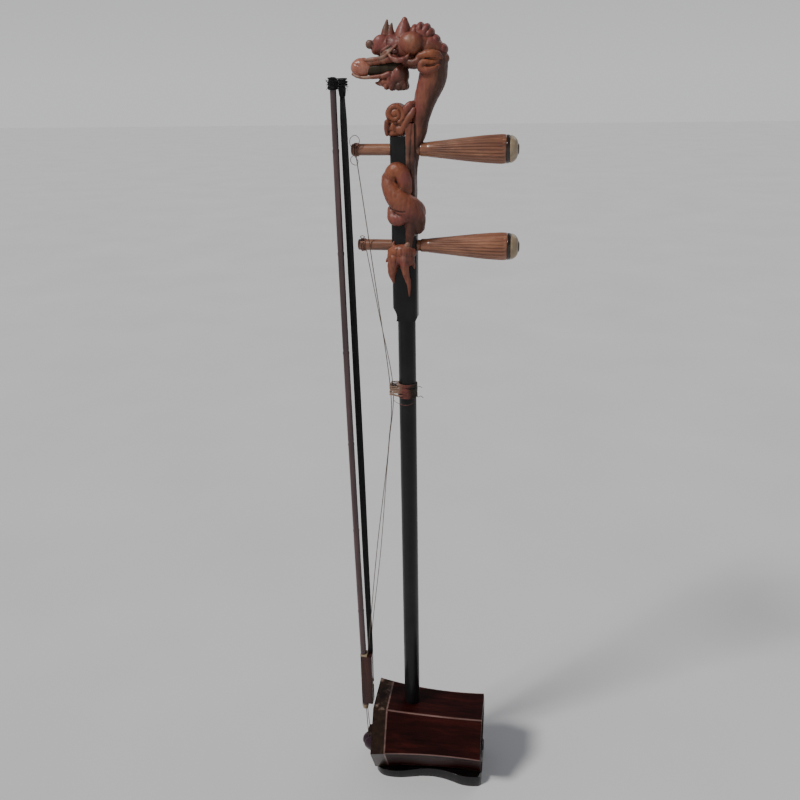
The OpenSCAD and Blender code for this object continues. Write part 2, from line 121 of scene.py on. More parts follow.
class Shape:
    """Vertices and faces in millimetres, gathered before they become one mesh."""

    def __init__(self):
        self.verts = []
        self.faces = []

    def add(self, verts, faces):
        base = len(self.verts)
        self.verts.extend(tuple(v) for v in verts)
        self.faces.extend(tuple(base + i for i in f) for f in faces)

    def rings(self, rings, closed=False, caps=True):
        """Skins a list of rings that all have the same number of points."""
        sides = len(rings[0])
        verts = [v for ring in rings for v in ring]
        faces = []
        spans = len(rings) if closed else len(rings) - 1
        for i in range(spans):
            j = (i + 1) % len(rings)
            for k in range(sides):
                m = (k + 1) % sides
                faces.append((i * sides + k, i * sides + m, j * sides + m, j * sides + k))
        if caps and not closed:
            faces.append(tuple(range(sides))[::-1])
            faces.append(tuple((len(rings) - 1) * sides + k for k in range(sides)))
        self.add(verts, faces)

    def tube(self, path, radius=None, sides=8, flat=1.0, up=None, closed=False, round_ends=True):
        """Sweeps a round or flattened section along points. A fourth number in a point is its radius."""
        points = [Vector(p[:3]) for p in path]
        radii = [p[3] if len(p) > 3 else radius for p in path]
        if round_ends and not closed:
            points, radii = rounded(points, radii)
        frames = transport(points, up, closed)
        rings = []
        for c, r, (a, b) in zip(points, radii, frames):
            rings.append([c + r * (math.cos(t) * a + flat * math.sin(t) * b) for t in angles(sides)])
        self.rings(rings, closed)

    def limb(self, points, sides=14, steps=6, flat=1.0, up=None):
        """Sweeps a smooth curve through given points. The fourth number in each is its radius."""
        self.tube(spline(points, steps), sides=sides, flat=flat, up=up)

    def ball(self, centre, radii, turn=(0, 0, 0), sides=24):
        """Ellipsoid, turned by degrees about X, Y and Z."""
        spin = Matrix.Rotation(math.radians(turn[2]), 3, "Z") \
            @ Matrix.Rotation(math.radians(turn[1]), 3, "Y") \
            @ Matrix.Rotation(math.radians(turn[0]), 3, "X")
        rows = sides // 2
        rings = []
        for i in range(1, rows):
            polar = math.pi * i / rows
            rings.append([
                Vector(centre) + spin @ Vector((
                    radii[0] * math.sin(polar) * math.cos(a), radii[1] * math.sin(polar) * math.sin(a),
                    -radii[2] * math.cos(polar)))
                for a in angles(sides)])
        self.rings(rings)

    def lathe(self, z, profile, sides, ripple=None):
        """Turns a profile of (x, radius) round the line along X at height z."""
        rings = []
        for x, r in profile:
            ring = []
            for k in range(sides):
                angle = -math.tau * k / sides
                grown = r if ripple is None else ripple(x, r, angle)
                ring.append((x, grown * math.cos(angle), z + grown * math.sin(angle)))
            rings.append(ring)
        self.rings(rings)

    def box(self, low, high):
        """Plain block, for joining and rounding with other forms."""
        x, y, z = zip(low, high)
        verts = [(x[i], y[j], z[k]) for i in (0, 1) for j in (0, 1) for k in (0, 1)]
        faces = [(0, 1, 3, 2), (4, 6, 7, 5), (0, 4, 5, 1), (2, 3, 7, 6), (0, 2, 6, 4), (1, 5, 7, 3)]
        self.add(verts, faces)


def rounded(points, radii, steps=3):
    """Adds small end rings, so that a tube ends in a dome and not in a flat disc."""
    def dome(p, q, r):
        way = (p - q).normalized() if (p - q).length > 1e-9 else Vector((0, 0, 1))
        return [(p + way * r * math.sin(a), max(r * math.cos(a), 0.02 * r))
                for a in (math.pi / 2 * k / steps for k in range(1, steps + 1))]
    head = dome(points[0], points[1], radii[0])[::-1]
    tail = dome(points[-1], points[-2], radii[-1])
    full = head + list(zip(points, radii)) + tail
    return [p for p, _ in full], [r for _, r in full]


def transport(points, up, closed):
    """Two directions square to the curve at each point, without twist."""
    count = len(points)
    tangents = []
    for i in range(count):
        before = points[i - 1] if i or closed else points[i]
        after = points[(i + 1) % count] if i < count - 1 or closed else points[i]
        way = after - before
        tangents.append(way.normalized() if way.length > 1e-9 else Vector((0, 0, 1)))
    first = Vector(up) if up else Vector((0, 1, 0))
    if abs(first.normalized().dot(tangents[0])) > 0.95:
        first = Vector((1, 0, 0))
    out = []
    a = first
    for t in tangents:
        if up and abs(Vector(up).normalized().dot(t)) < 0.95:
            a = Vector(up)
        a = (a - t * a.dot(t)).normalized()
        out.append((a, t.cross(a)))
    return out


# ---------------------------------------------------------------- objects

def link(name, mesh):
    obj = bpy.data.objects.new(name, mesh)
    bpy.context.scene.collection.objects.link(obj)
    return obj


def shade_smooth(mesh, smooth=True):
    mesh.polygons.foreach_set("use_smooth", [smooth] * len(mesh.polygons))


def to_object(name, shape, smooth=True):
    mesh = bpy.data.meshes.new(name)
    mesh.from_pydata([Vector(v) * MM for v in shape.verts], [], shape.faces)
    mesh.update()
    shade_smooth(mesh, smooth)
    return link(name, mesh)


def apply_modifiers(obj):
    """Bakes the modifiers into the mesh."""
    graph = bpy.context.evaluated_depsgraph_get()
    mesh = bpy.data.meshes.new_from_object(obj.evaluated_get(graph))
    obj.modifiers.clear()
    obj.data = mesh
    return obj


def place(obj, body, slot, replaced=(), material=None):
    """Gives a finished piece its material and its body, and hides the CAD nodes that it stands for."""
    obj.data.materials.clear()
    obj.data.materials.append(material or MATERIALS[slot])
    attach(obj, body)
    if replaced:
        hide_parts(*replaced)
    return obj


def rounded_copy(name, node, width, segments=3, angle=35):
    """A copy of a CAD node whose edges are rounded over."""
    obj = link(name, frame["nodes"][node].data.copy())
    edit = bmesh.new()
    edit.from_mesh(obj.data)
    bmesh.ops.remove_doubles(edit, verts=edit.verts, dist=2e-6)
    bmesh.ops.dissolve_limit(edit, angle_limit=math.radians(1), verts=edit.verts, edges=edit.edges)
    edit.to_mesh(obj.data)
    edit.free()
    bevel = obj.modifiers.new("edges", "BEVEL")
    bevel.width = width * MM
    bevel.segments = segments
    bevel.limit_method = "ANGLE"
    bevel.angle_limit = math.radians(angle)
    bevel.harden_normals = True
    bevel.use_clamp_overlap = True
    shade_smooth(obj.data)
    return apply_modifiers(obj)


# ---------------------------------------------------------------- carving

def numpy_verts(mesh):
    co = np.zeros(len(mesh.vertices) * 3)
    mesh.vertices.foreach_get("co", co)
    return co.reshape(-1, 3) / MM


def numpy_normals(mesh):
    no = np.zeros(len(mesh.vertices) * 3)
    mesh.vertex_normals.foreach_get("vector", no)
    return no.reshape(-1, 3)


def set_verts(mesh, co):
    mesh.vertices.foreach_set("co", (co * MM).ravel())
    mesh.update()


def melt(obj, voxel, smooth):
    """Joins the overlapping forms of a sculpt into one skin and softens it."""
    remesh = obj.modifiers.new("join", "REMESH")
    remesh.mode = "VOXEL"
    remesh.voxel_size = voxel * MM
    remesh.use_smooth_shade = True
    soften = obj.modifiers.new("soften", "SMOOTH")
    soften.factor = 0.5
    soften.iterations = smooth
    return apply_modifiers(obj)


def distance_to(co, path):
    """Distance from every vertex to a line through points."""
    best = np.full(len(co), 1e9)
    for p, q in zip(path[:-1], path[1:]):
        p, q = np.array(p[:3], float), np.array(q[:3], float)
        d = q - p
        t = np.clip(((co - p) @ d) / max(float(d @ d), 1e-12), 0, 1)
        best = np.minimum(best, np.linalg.norm(co - (p + t[:, None] * d), axis=1))
    return best


def carve(obj, cuts, grain=0.0, seed=0):
    """Cuts grooves and raises ridges along lines, then leaves faint tool marks.

    Each cut is (points, width, depth); a negative depth raises the surface."""
    mesh = obj.data
    co, no = numpy_verts(mesh), numpy_normals(mesh)
    total = np.zeros(len(co))
    for path, width, depth in cuts:
        near = distance_to(co, path)
        total += depth * np.exp(-(near / width) ** 2)
    if grain:
        marks = np.array([perlin.noise(Vector((v[0] * 0.35 + seed, v[1] * 0.35, v[2] * 0.22)))
                          for v in co])
        total += grain * marks
    set_verts(mesh, co - no * total[:, None])
    crease_shade_and_dirt(mesh, total)
    return obj


def crease_shade_and_dirt(mesh, cut_depth=None):
    """Stores how hollow the surface is at each vertex, which darkens the wood there: painted shade in the
    hollows, with dirt in the cut grooves.
    """
    co, no = numpy_verts(mesh), numpy_normals(mesh)
    edges = np.zeros(len(mesh.edges) * 2, int)
    mesh.edges.foreach_get("vertices", edges)
    a, b = edges.reshape(-1, 2).T
    count = np.maximum(np.bincount(a, minlength=len(co)) + np.bincount(b, minlength=len(co)), 1)

    def mean(value):
        return (np.bincount(a, value[b], len(co)) + np.bincount(b, value[a], len(co))) / count

    soft = [co[:, i] for i in range(3)]
    for _ in range(5):
        soft = [mean(s) for s in soft]
    hollow = np.einsum("ij,ij->i", np.stack(soft, 1) - co, no)
    for _ in range(3):
        hollow = 0.5 * hollow + 0.5 * mean(hollow)
    depth = np.clip(hollow / 0.32, -1, 1)
    if cut_depth is not None:
        depth = np.maximum(depth, np.clip(0.6 * cut_depth, 0, 0.75))
    layer = mesh.attributes.new("crease", "FLOAT", "POINT")
    layer.data.foreach_set("value", depth.astype(np.float32))


def stain_and_painted_light_spots(mesh, stains_and_painted_light, back=0.0):
    """Stores how strongly each stain and each spot of painted light has taken at each vertex.

    Spots are round in the side view. The darkest spots are painted shade and the pale spots are partly
    painted highlights. back is how much painted shade darkens the faces that look backward, away from the key
    light."""
    co = numpy_verts(mesh)
    for name in ("rose", "amber", "pale", "painted_shade"):
        total = np.zeros(len(co))
        for (x, z, r), amount in stains_and_painted_light.get(name, ()):
            near = ((co[:, 0] - x) ** 2 + (co[:, 2] - z) ** 2) / (r * r)
            total = np.maximum(total, amount * np.exp(-near ** 2))
        # Faces that look backward, away from the key light, get painted shade.
        if name == "painted_shade" and back:
            total = np.maximum(total, back * np.clip(numpy_normals(mesh)[:, 0] * 1.9 - 0.05, 0, 1))
        mesh.attributes.new(name, "FLOAT", "POINT").data.foreach_set("value", total.astype(np.float32))


# ---------------------------------------------------------------- materials

class Finish:
    """Builds one node material."""

    def __init__(self, name):
        self.material = bpy.data.materials.new(name)
        self.material.use_nodes = True
        self.tree = self.material.node_tree
        self.shader = self.tree.nodes["Principled BSDF"]
        self.coords = self.tree.nodes.new("ShaderNodeTexCoord").outputs["Object"]

    def node(self, kind, **settings):
        made = self.tree.nodes.new(kind)
        for key, value in settings.items():
            setattr(made, key, value)
        return made

    def wire(self, source, target):
        self.tree.links.new(source, target)

    def stretched(self, scale, turn=(0, 0, 0)):
        """Coordinates in metres, stretched along each axis."""
        mapping = self.node("ShaderNodeMapping")
        mapping.inputs["Rotation"].default_value = [math.radians(t) for t in turn]
        mapping.inputs["Scale"].default_value = scale
        self.wire(self.coords, mapping.inputs["Vector"])
        return mapping.outputs["Vector"]

    def noise(self, scale, detail=4.0, rough=0.55, vector=None, distortion=0.0):
        made = self.node("ShaderNodeTexNoise")
        made.inputs["Scale"].default_value = scale
        made.inputs["Detail"].default_value = detail
        made.inputs["Roughness"].default_value = rough
        made.inputs["Distortion"].default_value = distortion
        self.wire(vector or self.coords, made.inputs["Vector"])
        return made.outputs["Fac"]

    def wave(self, scale, axis, distortion=0.0, vector=None, profile="SIN"):
        made = self.node("ShaderNodeTexWave", bands_direction=axis, wave_profile=profile)
        made.inputs["Scale"].default_value = scale
        made.inputs["Distortion"].default_value = distortion
        self.wire(vector or self.coords, made.inputs["Vector"])
        return made.outputs["Fac"]

    def cells(self, scale, vector=None, feature="F1", output="Distance", random_ness=1.0):
        made = self.node("ShaderNodeTexVoronoi", feature=feature)
        made.inputs["Scale"].default_value = scale
        made.inputs["Randomness"].default_value = random_ness
        self.wire(vector or self.coords, made.inputs["Vector"])
        return made.outputs[output]

    def ramp(self, value, stops):
        """Colours or greys at positions from 0 to 1."""
        made = self.node("ShaderNodeValToRGB")
        made.color_ramp.elements.remove(made.color_ramp.elements[0])
        for i, (at, colour) in enumerate(stops):
            if not hasattr(colour, "__len__"):
                colour = (colour, colour, colour)
            element = made.color_ramp.elements[0] if i == 0 else made.color_ramp.elements.new(at)
            element.position = at
            element.color = (*colour, 1.0)
        self.wire(value, made.inputs["Fac"])
        return made.outputs["Color"]

    def mix(self, amount, first, second, blend="MIX"):
        """Blends two colour outputs; amount is an output or a number."""
        made = self.node("ShaderNodeMix", data_type="RGBA", blend_type=blend)
        if isinstance(amount, (int, float)):
            made.inputs["Factor"].default_value = amount
        else:
            self.wire(amount, made.inputs["Factor"])
        for source, name in ((first, "A"), (second, "B")):
            socket = next(s for s in made.inputs if s.name == name and s.type == "RGBA")
            if hasattr(source, "is_linked"):
                self.wire(source, socket)
            else:
                socket.default_value = (*source, 1.0)
        return next(s for s in made.outputs if s.type == "RGBA")

    def shifted(self, value, by):
        made = self.node("ShaderNodeMath", operation="ADD")
        self.wire(value, made.inputs[0])
        made.inputs[1].default_value = by
        return made.outputs[0]

    def attribute(self, name):
        return self.node("ShaderNodeAttribute", attribute_name=name).outputs["Fac"]

    def colour(self, source):
        self.wire(source, self.shader.inputs["Base Color"])

    def rough(self, source):
        if isinstance(source, (int, float)):
            self.shader.inputs["Roughness"].default_value = source
        else:
            self.wire(source, self.shader.inputs["Roughness"])

    def bump(self, height, distance, strength=1.0):
        """Raises the surface by distance in millimetres where height is 1."""
        made = self.node("ShaderNodeBump")
        made.inputs["Strength"].default_value = strength
        made.inputs["Distance"].default_value = distance * MM
        self.wire(height, made.inputs["Height"])
        if self.shader.inputs["Normal"].is_linked:
            earlier = self.shader.inputs["Normal"].links[0].from_socket
            self.wire(earlier, made.inputs["Normal"])
        self.wire(made.outputs["Normal"], self.shader.inputs["Normal"])

    def set(self, **values):
        for name, value in values.items():
            self.shader.inputs[name.replace("_", " ")].default_value = value


def lacquer(name, dark, light, rough, coat):
    """Black lacquer with a faint mottle and fine handling marks."""
    f = Finish(name)
    cloud = f.noise(60, 5)
    f.colour(f.ramp(cloud, [(0.3, dark), (0.75, light)]))
    f.rough(f.ramp(f.noise(240, 6, vector=f.stretched((1, 1, 0.12))),
                   [(0.3, rough - 0.06), (0.7, rough + 0.1)]))
    f.bump(f.noise(900, 3, vector=f.stretched((1, 1, 0.08))), 0.03)
    f.set(Coat_Weight=coat, Coat_Roughness=0.12)
    return f.material


def grained_wood(name, dark, mid, light, along, pores, rough, coat, figure=1.0):
    """Varnished wood: long streaks, dark pores and a slow change of tone. along is the grain's stretch."""
    f = Finish(name)
    long_way = f.stretched(along)
    streak = f.noise(150 * figure, 6, 0.6, long_way, 0.4)
    fine = f.noise(620 * figure, 3, 0.7, long_way)
    tone = f.ramp(streak, [(0.28, dark), (0.5, mid), (0.74, light)])
    pore = f.ramp(fine, [(0.36, 0.0), (0.46, 1.0)])
    shaded = f.mix(pores, tone, f.mix(pore, dark, tone))
    cloud = f.ramp(f.noise(18, 3), [(0.3, 0.72), (0.7, 1.0)])
    f.colour(f.mix(1.0, shaded, cloud, "MULTIPLY"))
    f.rough(f.ramp(fine, [(0.3, rough + 0.12), (0.6, rough)]))
    f.bump(fine, 0.04)
    f.set(Coat_Weight=coat, Coat_Roughness=0.15)
    return f.material


# Colours of the stains and of the painted light: the pale colour is partly a painted highlight and the last,
# darkest one is painted shade.
STAINS_AND_PAINTED_LIGHT = (("rose", (0.2, 0.05, 0.045)), ("amber", (0.28, 0.085, 0.032)), ("pale", (0.3, 0.2, 0.14)),
          ("painted_shade", (0.013, 0.009, 0.0055)))


def carved_finish(name, crease, dark, mid, light, rough=0.46):
    """Oiled carved wood, darkened where it is hollow by painted shade with dirt in the cut grooves, and
    lighter in random patches.
    """
    f = Finish(name)
    hollow = f.attribute("crease")
    streak = f.noise(170, 6, 0.6, f.stretched((1, 1, 0.22), (0, 20, 0)), 0.8)
    tone = f.ramp(streak, [(0.3, dark), (0.5, mid), (0.72, light)])
    patch = f.mix(f.ramp(f.noise(42, 3), [(0.4, 0.0), (0.68, 0.55)]), tone, light)
    # Stains and spots of painted shade and painted highlight are mixed into the colour.
    for spot_kind, colour in STAINS_AND_PAINTED_LIGHT:
        patch = f.mix(f.attribute(spot_kind), patch, f.mix(0.86, patch, colour))
    # Hollows are darkened towards the crease colour: painted shade, with dirt in the cut grooves.
    f.colour(f.mix(f.ramp(hollow, [(0.04, 0.0), (0.35, 0.5), (0.9, 0.9)]), patch, crease))
    f.rough(f.ramp(f.noise(300, 4), [(0.3, rough - 0.08), (0.7, rough + 0.14)]))
    f.bump(f.noise(520, 4, 0.6, f.stretched((1, 1, 0.3))), 0.07)
    f.set(Coat_Weight=0.08, Coat_Roughness=0.35)
    return f.material


def plain_polish(name, low, high, rough, scale=140, coat=0.0, subsurface=0.0):
    """Bone or horn: cloudy colour under a polish."""
    f = Finish(name)
    cloud = f.noise(scale, 5, 0.6, f.stretched((0.35, 1, 1)))
    f.colour(f.ramp(cloud, [(0.3, low), (0.7, high)]))
    f.rough(f.ramp(f.noise(scale * 3, 4), [(0.3, rough - 0.05), (0.7, rough + 0.1)]))
    f.bump(cloud, 0.03)
    f.set(Coat_Weight=coat, Coat_Roughness=0.1)
    if subsurface:
        f.set(Subsurface_Weight=subsurface, Subsurface_Scale=0.002)
    return f.material


def metal(name, low, high, rough, scale=500, brushed=(1, 1, 0.1)):
    f = Finish(name)
    scratch = f.noise(scale, 4, 0.6, f.stretched(brushed))
    f.colour(f.ramp(scratch, [(0.3, low), (0.7, high)]))
    f.rough(f.ramp(scratch, [(0.3, rough + 0.1), (0.7, rough)]))
    f.bump(scratch, 0.01)
    f.set(Metallic=1.0)
    return f.material


def fibre(name, low, high, rough, scale=900, sheen=0.4):
    """Thread, hair or felt: broken colour and a soft sheen."""
    f = Finish(name)
    fuzz = f.noise(scale, 5, 0.7)
    f.colour(f.ramp(fuzz, [(0.32, low), (0.68, high)]))
    f.rough(f.ramp(fuzz, [(0.3, rough), (0.7, min(rough + 0.15, 1.0))]))
    f.bump(fuzz, 0.12)
    f.set(Sheen_Weight=sheen, Sheen_Roughness=0.5)
    return f.material


def tie_thread(name):
    """Old thread: cream on the side of the strings, maroon in the middle and darkest at the back."""
    f = Finish(name)
    fuzz = f.noise(900, 5, 0.7)
    cream = f.ramp(fuzz, [(0.32, (0.1, 0.06, 0.04)), (0.68, (0.36, 0.24, 0.17))])
    maroon = f.ramp(fuzz, [(0.32, (0.05, 0.011, 0.009)), (0.68, (0.22, 0.07, 0.055))])
    back_dark = f.ramp(fuzz, [(0.32, (0.012, 0.009, 0.005)), (0.68, (0.055, 0.034, 0.02))])
    parts = f.node("ShaderNodeSeparateXYZ")
    f.wire(f.stretched((25, 25, 25)), parts.inputs["Vector"])
    broken = f.noise(160, 3, 0.6)
    place_x = f.mix(0.25, f.ramp(f.shifted(parts.outputs["X"], 0.5), [(0.1, 0.0), (0.9, 1.0)]), broken)
    f.colour(f.mix(f.ramp(place_x, [(0.5, 0.0), (0.66, 1.0)]),
                   f.mix(f.ramp(place_x, [(0.24, 0.0), (0.4, 1.0)]), cream, maroon), back_dark))
    f.rough(f.ramp(fuzz, [(0.3, 0.75), (0.7, 0.9)]))
    f.bump(fuzz, 0.12)
    f.set(Sheen_Weight=0.2, Sheen_Roughness=0.5)
    return f.material


def snakeskin(name):
    """Python skin: small overlapping scales under a pattern of brown and straw blotches."""
    f = Finish(name)
    flat = f.stretched((0.0, 1.0, 0.62))
    scale_edge = f.cells(330, flat, "DISTANCE_TO_EDGE", "Distance", 0.35)
    scale_tone = f.cells(330, flat, "F1", "Color", 0.35)
    blotch = f.cells(58, f.stretched((0.0, 1.0, 0.8)), "F1", "Distance", 0.8)
    ground = f.ramp(blotch, [(0.0, (0.035, 0.022, 0.012)), (0.32, (0.06, 0.038, 0.02)),
                             (0.4, (0.42, 0.33, 0.17)), (0.6, (0.3, 0.25, 0.15)),
                             (0.9, (0.16, 0.15, 0.1))])
    varied = f.mix(0.3, ground, f.mix(1.0, ground, scale_tone, "MULTIPLY"))
    seam = f.ramp(scale_edge, [(0.03, 0.0), (0.12, 1.0)])
    f.colour(f.mix(seam, (0.03, 0.022, 0.015), varied))
    f.rough(0.38)
    f.bump(f.ramp(scale_edge, [(0.0, 0.0), (0.3, 1.0)]), 0.25)
    return f.material


def rim_band(name):
    """The turned-over rim: dark varnished wood, with a painted glare highlight in pale marbled patches on its
    upper side.
    """
    f = Finish(name)
    marble = f.noise(120, 6, 0.65, distortion=1.2)
    dark = f.ramp(marble, [(0.3, (0.006, 0.004, 0.002)), (0.55, (0.02, 0.009, 0.005)),
                           (0.75, (0.035, 0.026, 0.013))])
    pale = f.ramp(marble, [(0.35, (0.03, 0.01, 0.007)), (0.52, (0.11, 0.06, 0.042)),
                           (0.68, (0.3, 0.23, 0.18))])
    parts = f.node("ShaderNodeSeparateXYZ")
    f.wire(f.coords, parts.inputs["Vector"])
    # Only the upper side gets the pale colour: a painted glare highlight.
    upper = f.ramp(parts.outputs["Z"], [(0.0985, 0.0), (0.1, 1.0)])
    glare_patches = f.ramp(f.noise(90, 4, 0.6), [(0.48, 0.0), (0.6, 1.0)])
    f.colour(f.mix(f.mix(1.0, upper, glare_patches, "MULTIPLY"), dark, pale))
    f.rough(0.3)
    f.bump(marble, 0.05)
    f.set(Coat_Weight=0.25, Coat_Roughness=0.12)
    return f.material


DULLED = {"black_lacquer": 0.2, "base_lacquer": 0.25, "rosewood": 0.12, "dark_band": 0.14, "horsehair": 0.2,
          "black_thread": 0.15, "frog_wood": 0.3, "felt": 0.1, "bridge_wood": 0.2, "mouth_shade": 0.1,
          "carved_wood": 0.35, "snakeskin": 0.3, "thread": 0.2}


def make_materials():
    m = {}
    m["black_lacquer"] = lacquer("black_lacquer", (0.004, 0.004, 0.0045), (0.011, 0.0105, 0.011), 0.36, 0.12)
    m["base_lacquer"] = lacquer("base_lacquer", (0.0016, 0.0014, 0.0014), (0.006, 0.0045, 0.0042), 0.2, 0.5)
    m["rosewood"] = grained_wood("rosewood", (0.005, 0.0008, 0.0007), (0.02, 0.0028, 0.0024),
                                 (0.05, 0.0075, 0.006), (0.1, 1, 1), 0.7, 0.42, 0.05)
    m["inlay"] = grained_wood("inlay", (0.075, 0.03, 0.024), (0.15, 0.072, 0.058),
                              (0.28, 0.16, 0.13), (0.15, 1, 1), 0.4, 0.36, 0.3)
    m["dark_band"] = rim_band("dark_band")
    m["snakeskin"] = snakeskin("snakeskin")
    # For carved wood the first colour is the one that the hollows darken to: painted shade, with dirt in the
    # cut grooves.
    m["carved_wood"] = carved_finish("carved_wood", (0.012, 0.002, 0.0015), (0.075, 0.018, 0.011),
                                     (0.155, 0.043, 0.025), (0.25, 0.088, 0.05))
    m["bead"] = carved_finish("bead", (0.05, 0.01, 0.006), (0.2, 0.055, 0.035),
                              (0.3, 0.1, 0.062), (0.42, 0.17, 0.11), 0.28)
    # Near-black wood for the inside of the mouth: painted shade.
    m["mouth_shade"] = carved_finish("mouth_shade", (0.004, 0.001, 0.001), (0.016, 0.013, 0.008),
                               (0.03, 0.025, 0.016), (0.045, 0.037, 0.025), 0.7)
    m["eye"] = plain_polish("eye", (0.03, 0.003, 0.002), (0.075, 0.011, 0.007), 0.35, coat=0.1)
    m["peg_wood"] = grained_wood("peg_wood", (0.11, 0.034, 0.015), (0.25, 0.095, 0.045),
                                 (0.4, 0.185, 0.1), (0.12, 1, 1), 0.5, 0.3, 0.4)
    m["peg_ring"] = plain_polish("peg_ring", (0.003, 0.0016, 0.001), (0.02, 0.008, 0.005), 0.2, coat=0.4)
    m["bone"] = plain_polish("bone", (0.2, 0.145, 0.085), (0.34, 0.26, 0.165),
        0.34, coat=0.15, subsurface=0.1)
    m["horn"] = plain_polish("horn", (0.012, 0.007, 0.005), (0.1, 0.055, 0.032), 0.22, coat=0.4)
    m["string_steel"] = metal("string_steel", (0.1, 0.075, 0.06), (0.26, 0.21, 0.17), 0.34, 3000, (1, 1, 1))
    m["winding"] = metal("winding", (0.13, 0.06, 0.046), (0.36, 0.2, 0.15), 0.34, 3000, (1, 1, 1))
    m["thread"] = tie_thread("thread")
    m["bridge_wood"] = grained_wood("bridge_wood", (0.006, 0.003, 0.002), (0.02, 0.009, 0.006),
                                    (0.045, 0.02, 0.013), (0.4, 0.2, 1), 0.5, 0.45, 0.1)
    m["felt"] = fibre("felt", (0.008, 0.003, 0.006), (0.035, 0.012, 0.024), 0.9, 1400, 0.3)
    m["brass"] = metal("brass", (0.32, 0.2, 0.07), (0.56, 0.4, 0.16), 0.26)
    m["bow_bamboo"] = grained_wood("bow_bamboo", (0.022, 0.009, 0.01), (0.066, 0.028, 0.031),
                                   (0.12, 0.062, 0.064), (1, 1, 0.05), 0.6, 0.3, 0.35)
    m["horsehair"] = fibre("horsehair", (0.004, 0.004, 0.0042), (0.022, 0.021, 0.021), 0.5, 1500, 0.1)
    m["black_thread"] = fibre("black_thread", (0.002, 0.002, 0.0024), (0.012, 0.011, 0.012), 0.6, 1400, 0.1)
    m["frog_wood"] = grained_wood("frog_wood", (0.007, 0.0016, 0.0014), (0.027, 0.0075, 0.0062),
                                  (0.06, 0.02, 0.016), (1, 1, 0.08), 0.6, 0.26, 0.4)
    for name in ("rosewood", "dark_band", "frog_wood", "mouth_shade"):
        m[name].node_tree.nodes["Principled BSDF"].inputs["Specular Tint"].default_value = (1.0, 0.62,
            0.55, 1.0)
    for name, level in DULLED.items():
        m[name].node_tree.nodes["Principled BSDF"].inputs["Specular IOR Level"].default_value = level
    return m


MATERIALS = make_materials()


# ---------------------------------------------------------------- sound box, base and neck

def dress_cad():
    """CAD nodes that are shown as they are get the full node materials for their slots."""
    for entry in frame["record"]["subparts"]:
        mesh = frame["nodes"][entry["node"]].data
        mesh.materials.clear()
        mesh.materials.append(MATERIALS[entry["material_slot"]])


def make_rounded_parts():
    for name, node, width, body, slot in (
            ("base_rounded", "base", 1.0, "instrument", "base_lacquer"),
            ("neck_rounded", "neck", 0.5, "instrument", "black_lacquer"),
            ("bridge_rounded", "bridge", 0.4, "instrument", "bridge_wood"),
            ("frog_ferrule_rounded", "frog_ferrule", 0.35, "frog", "bone")):
        place(rounded_copy(name, node, width), body, slot, [node])


def make_damper_pad():
    """Felt pad: a crowned round form with a groove pressed in by each string."""
    profile = [(0.0, 10.4), (0.6, 11.9), (2.2, 13.0), (5.0, 13.4), (8.4, 13.1), (12.0, 11.9), (15.4, 9.9),
               (18.2, 7.2), (19.9, 4.2), (20.6, 1.4)]
    rings = []
    for depth, r in spline(profile, 3):
        ring = []
        for k in range(72):
            a = math.tau * k / 72
            grown = r * (1 + 0.018 * perlin.noise(Vector((2.4 * math.cos(a), 2.4 * math.sin(a),
                0.2 * depth))))
            y, z = grown * math.cos(a), PAD_Z + grown * math.sin(a)
            press = sum(math.exp(-((y - g) / 1.25) ** 2) for g in (-5, 5))
            sunk = max(depth - 6.5, 0) * 0.62 * press
            ring.append((SKIN_X - depth + sunk, y, z))
        rings.append(ring)
    shape = Shape()
    shape.rings(rings)
    obj = to_object("damper_pad_felt", shape)
    obj.modifiers.new("soft", "SUBSURF").levels = 1
    apply_modifiers(obj)
    place(obj, "instrument", "felt", ["damper_pad"])


# ---------------------------------------------------------------- pegs

def peg_profile(front):
    """Radius of the handle along its length, from the shaft's tip to the dark ring."""
    end = front + PEG_LEN - CAP_LEN
    grip = end - GRIP_X
    handle = [(0.0, 5.5), (0.4, 5.9), (1.5, 6.4), (7, 6.6), (10, 7.1), (0.28 * grip, 8.4),
              (0.52 * grip, 10.6), (0.74 * grip, 12.4), (0.9 * grip, 13.2), (0.95 * grip, 13.3),
              (0.985 * grip, 13.1), (grip, 12.7)]
    shaft = [(front, 3.8), (front + 0.3, 4.9), (front + 0.9, 5.35), (front + 2, SHAFT_R),
             (GRIP_X - 0.6, SHAFT_R)]
    dense = spline([(GRIP_X + x, r) for x, r in handle], 6)
    return shaft + dense


def make_peg(tag, z, front, flute_from):
    end = front + PEG_LEN - CAP_LEN
    ribs = 24

    def flutes(x, r, angle):
        fade = min(max((x - flute_from) / 12, 0), 1) * min(max((end - 0.6 - x) / 3, 0), 1)
        rib = abs(math.sin(ribs / 2 * angle)) ** 0.55
        return r - fade * 0.085 * r * (1 - rib)

    shape = Shape()
    shape.lathe(z, peg_profile(front), 288, flutes)
    obj = to_object(f"{tag}_peg_fluted", shape)
    place(obj, f"{tag}_tuning_peg", "peg_wood", [f"{tag}_peg"])
    turned = (("band", "peg_ring", 0.0, [(0, 11.5), (0.15, 12.7), (0.7, 13.0), (1.6, 12.9), (2.3, 12.75),
                                       (3.1, 12.5), (3.35, 11.5)]),
              ("cap", "bone", 3.4, [(0, 11.6), (0.15, 12.3), (0.8, 12.3), (2.2, 11.9), (4.4, 10.5),
                                    (6.2, 8.3), (7.0, 6.2), (7.2, 4.0)]),
              ("button", "horn", 10.6, [(0, 4.9), (0.1, 5.15), (0.5, 4.95), (0.9, 4.3), (1.25, 3.0),
                                        (1.4, 1.0)]))
    for part, slot, start, profile in turned:
        shape = Shape()
        shape.lathe(z, [(end + start + x, r) for x, r in spline(profile, 3)], 96)
        obj = to_object(f"{tag}_peg_{part}_turned", shape)
        place(obj, f"{tag}_tuning_peg", slot, [f"{tag}_peg_{part}"])


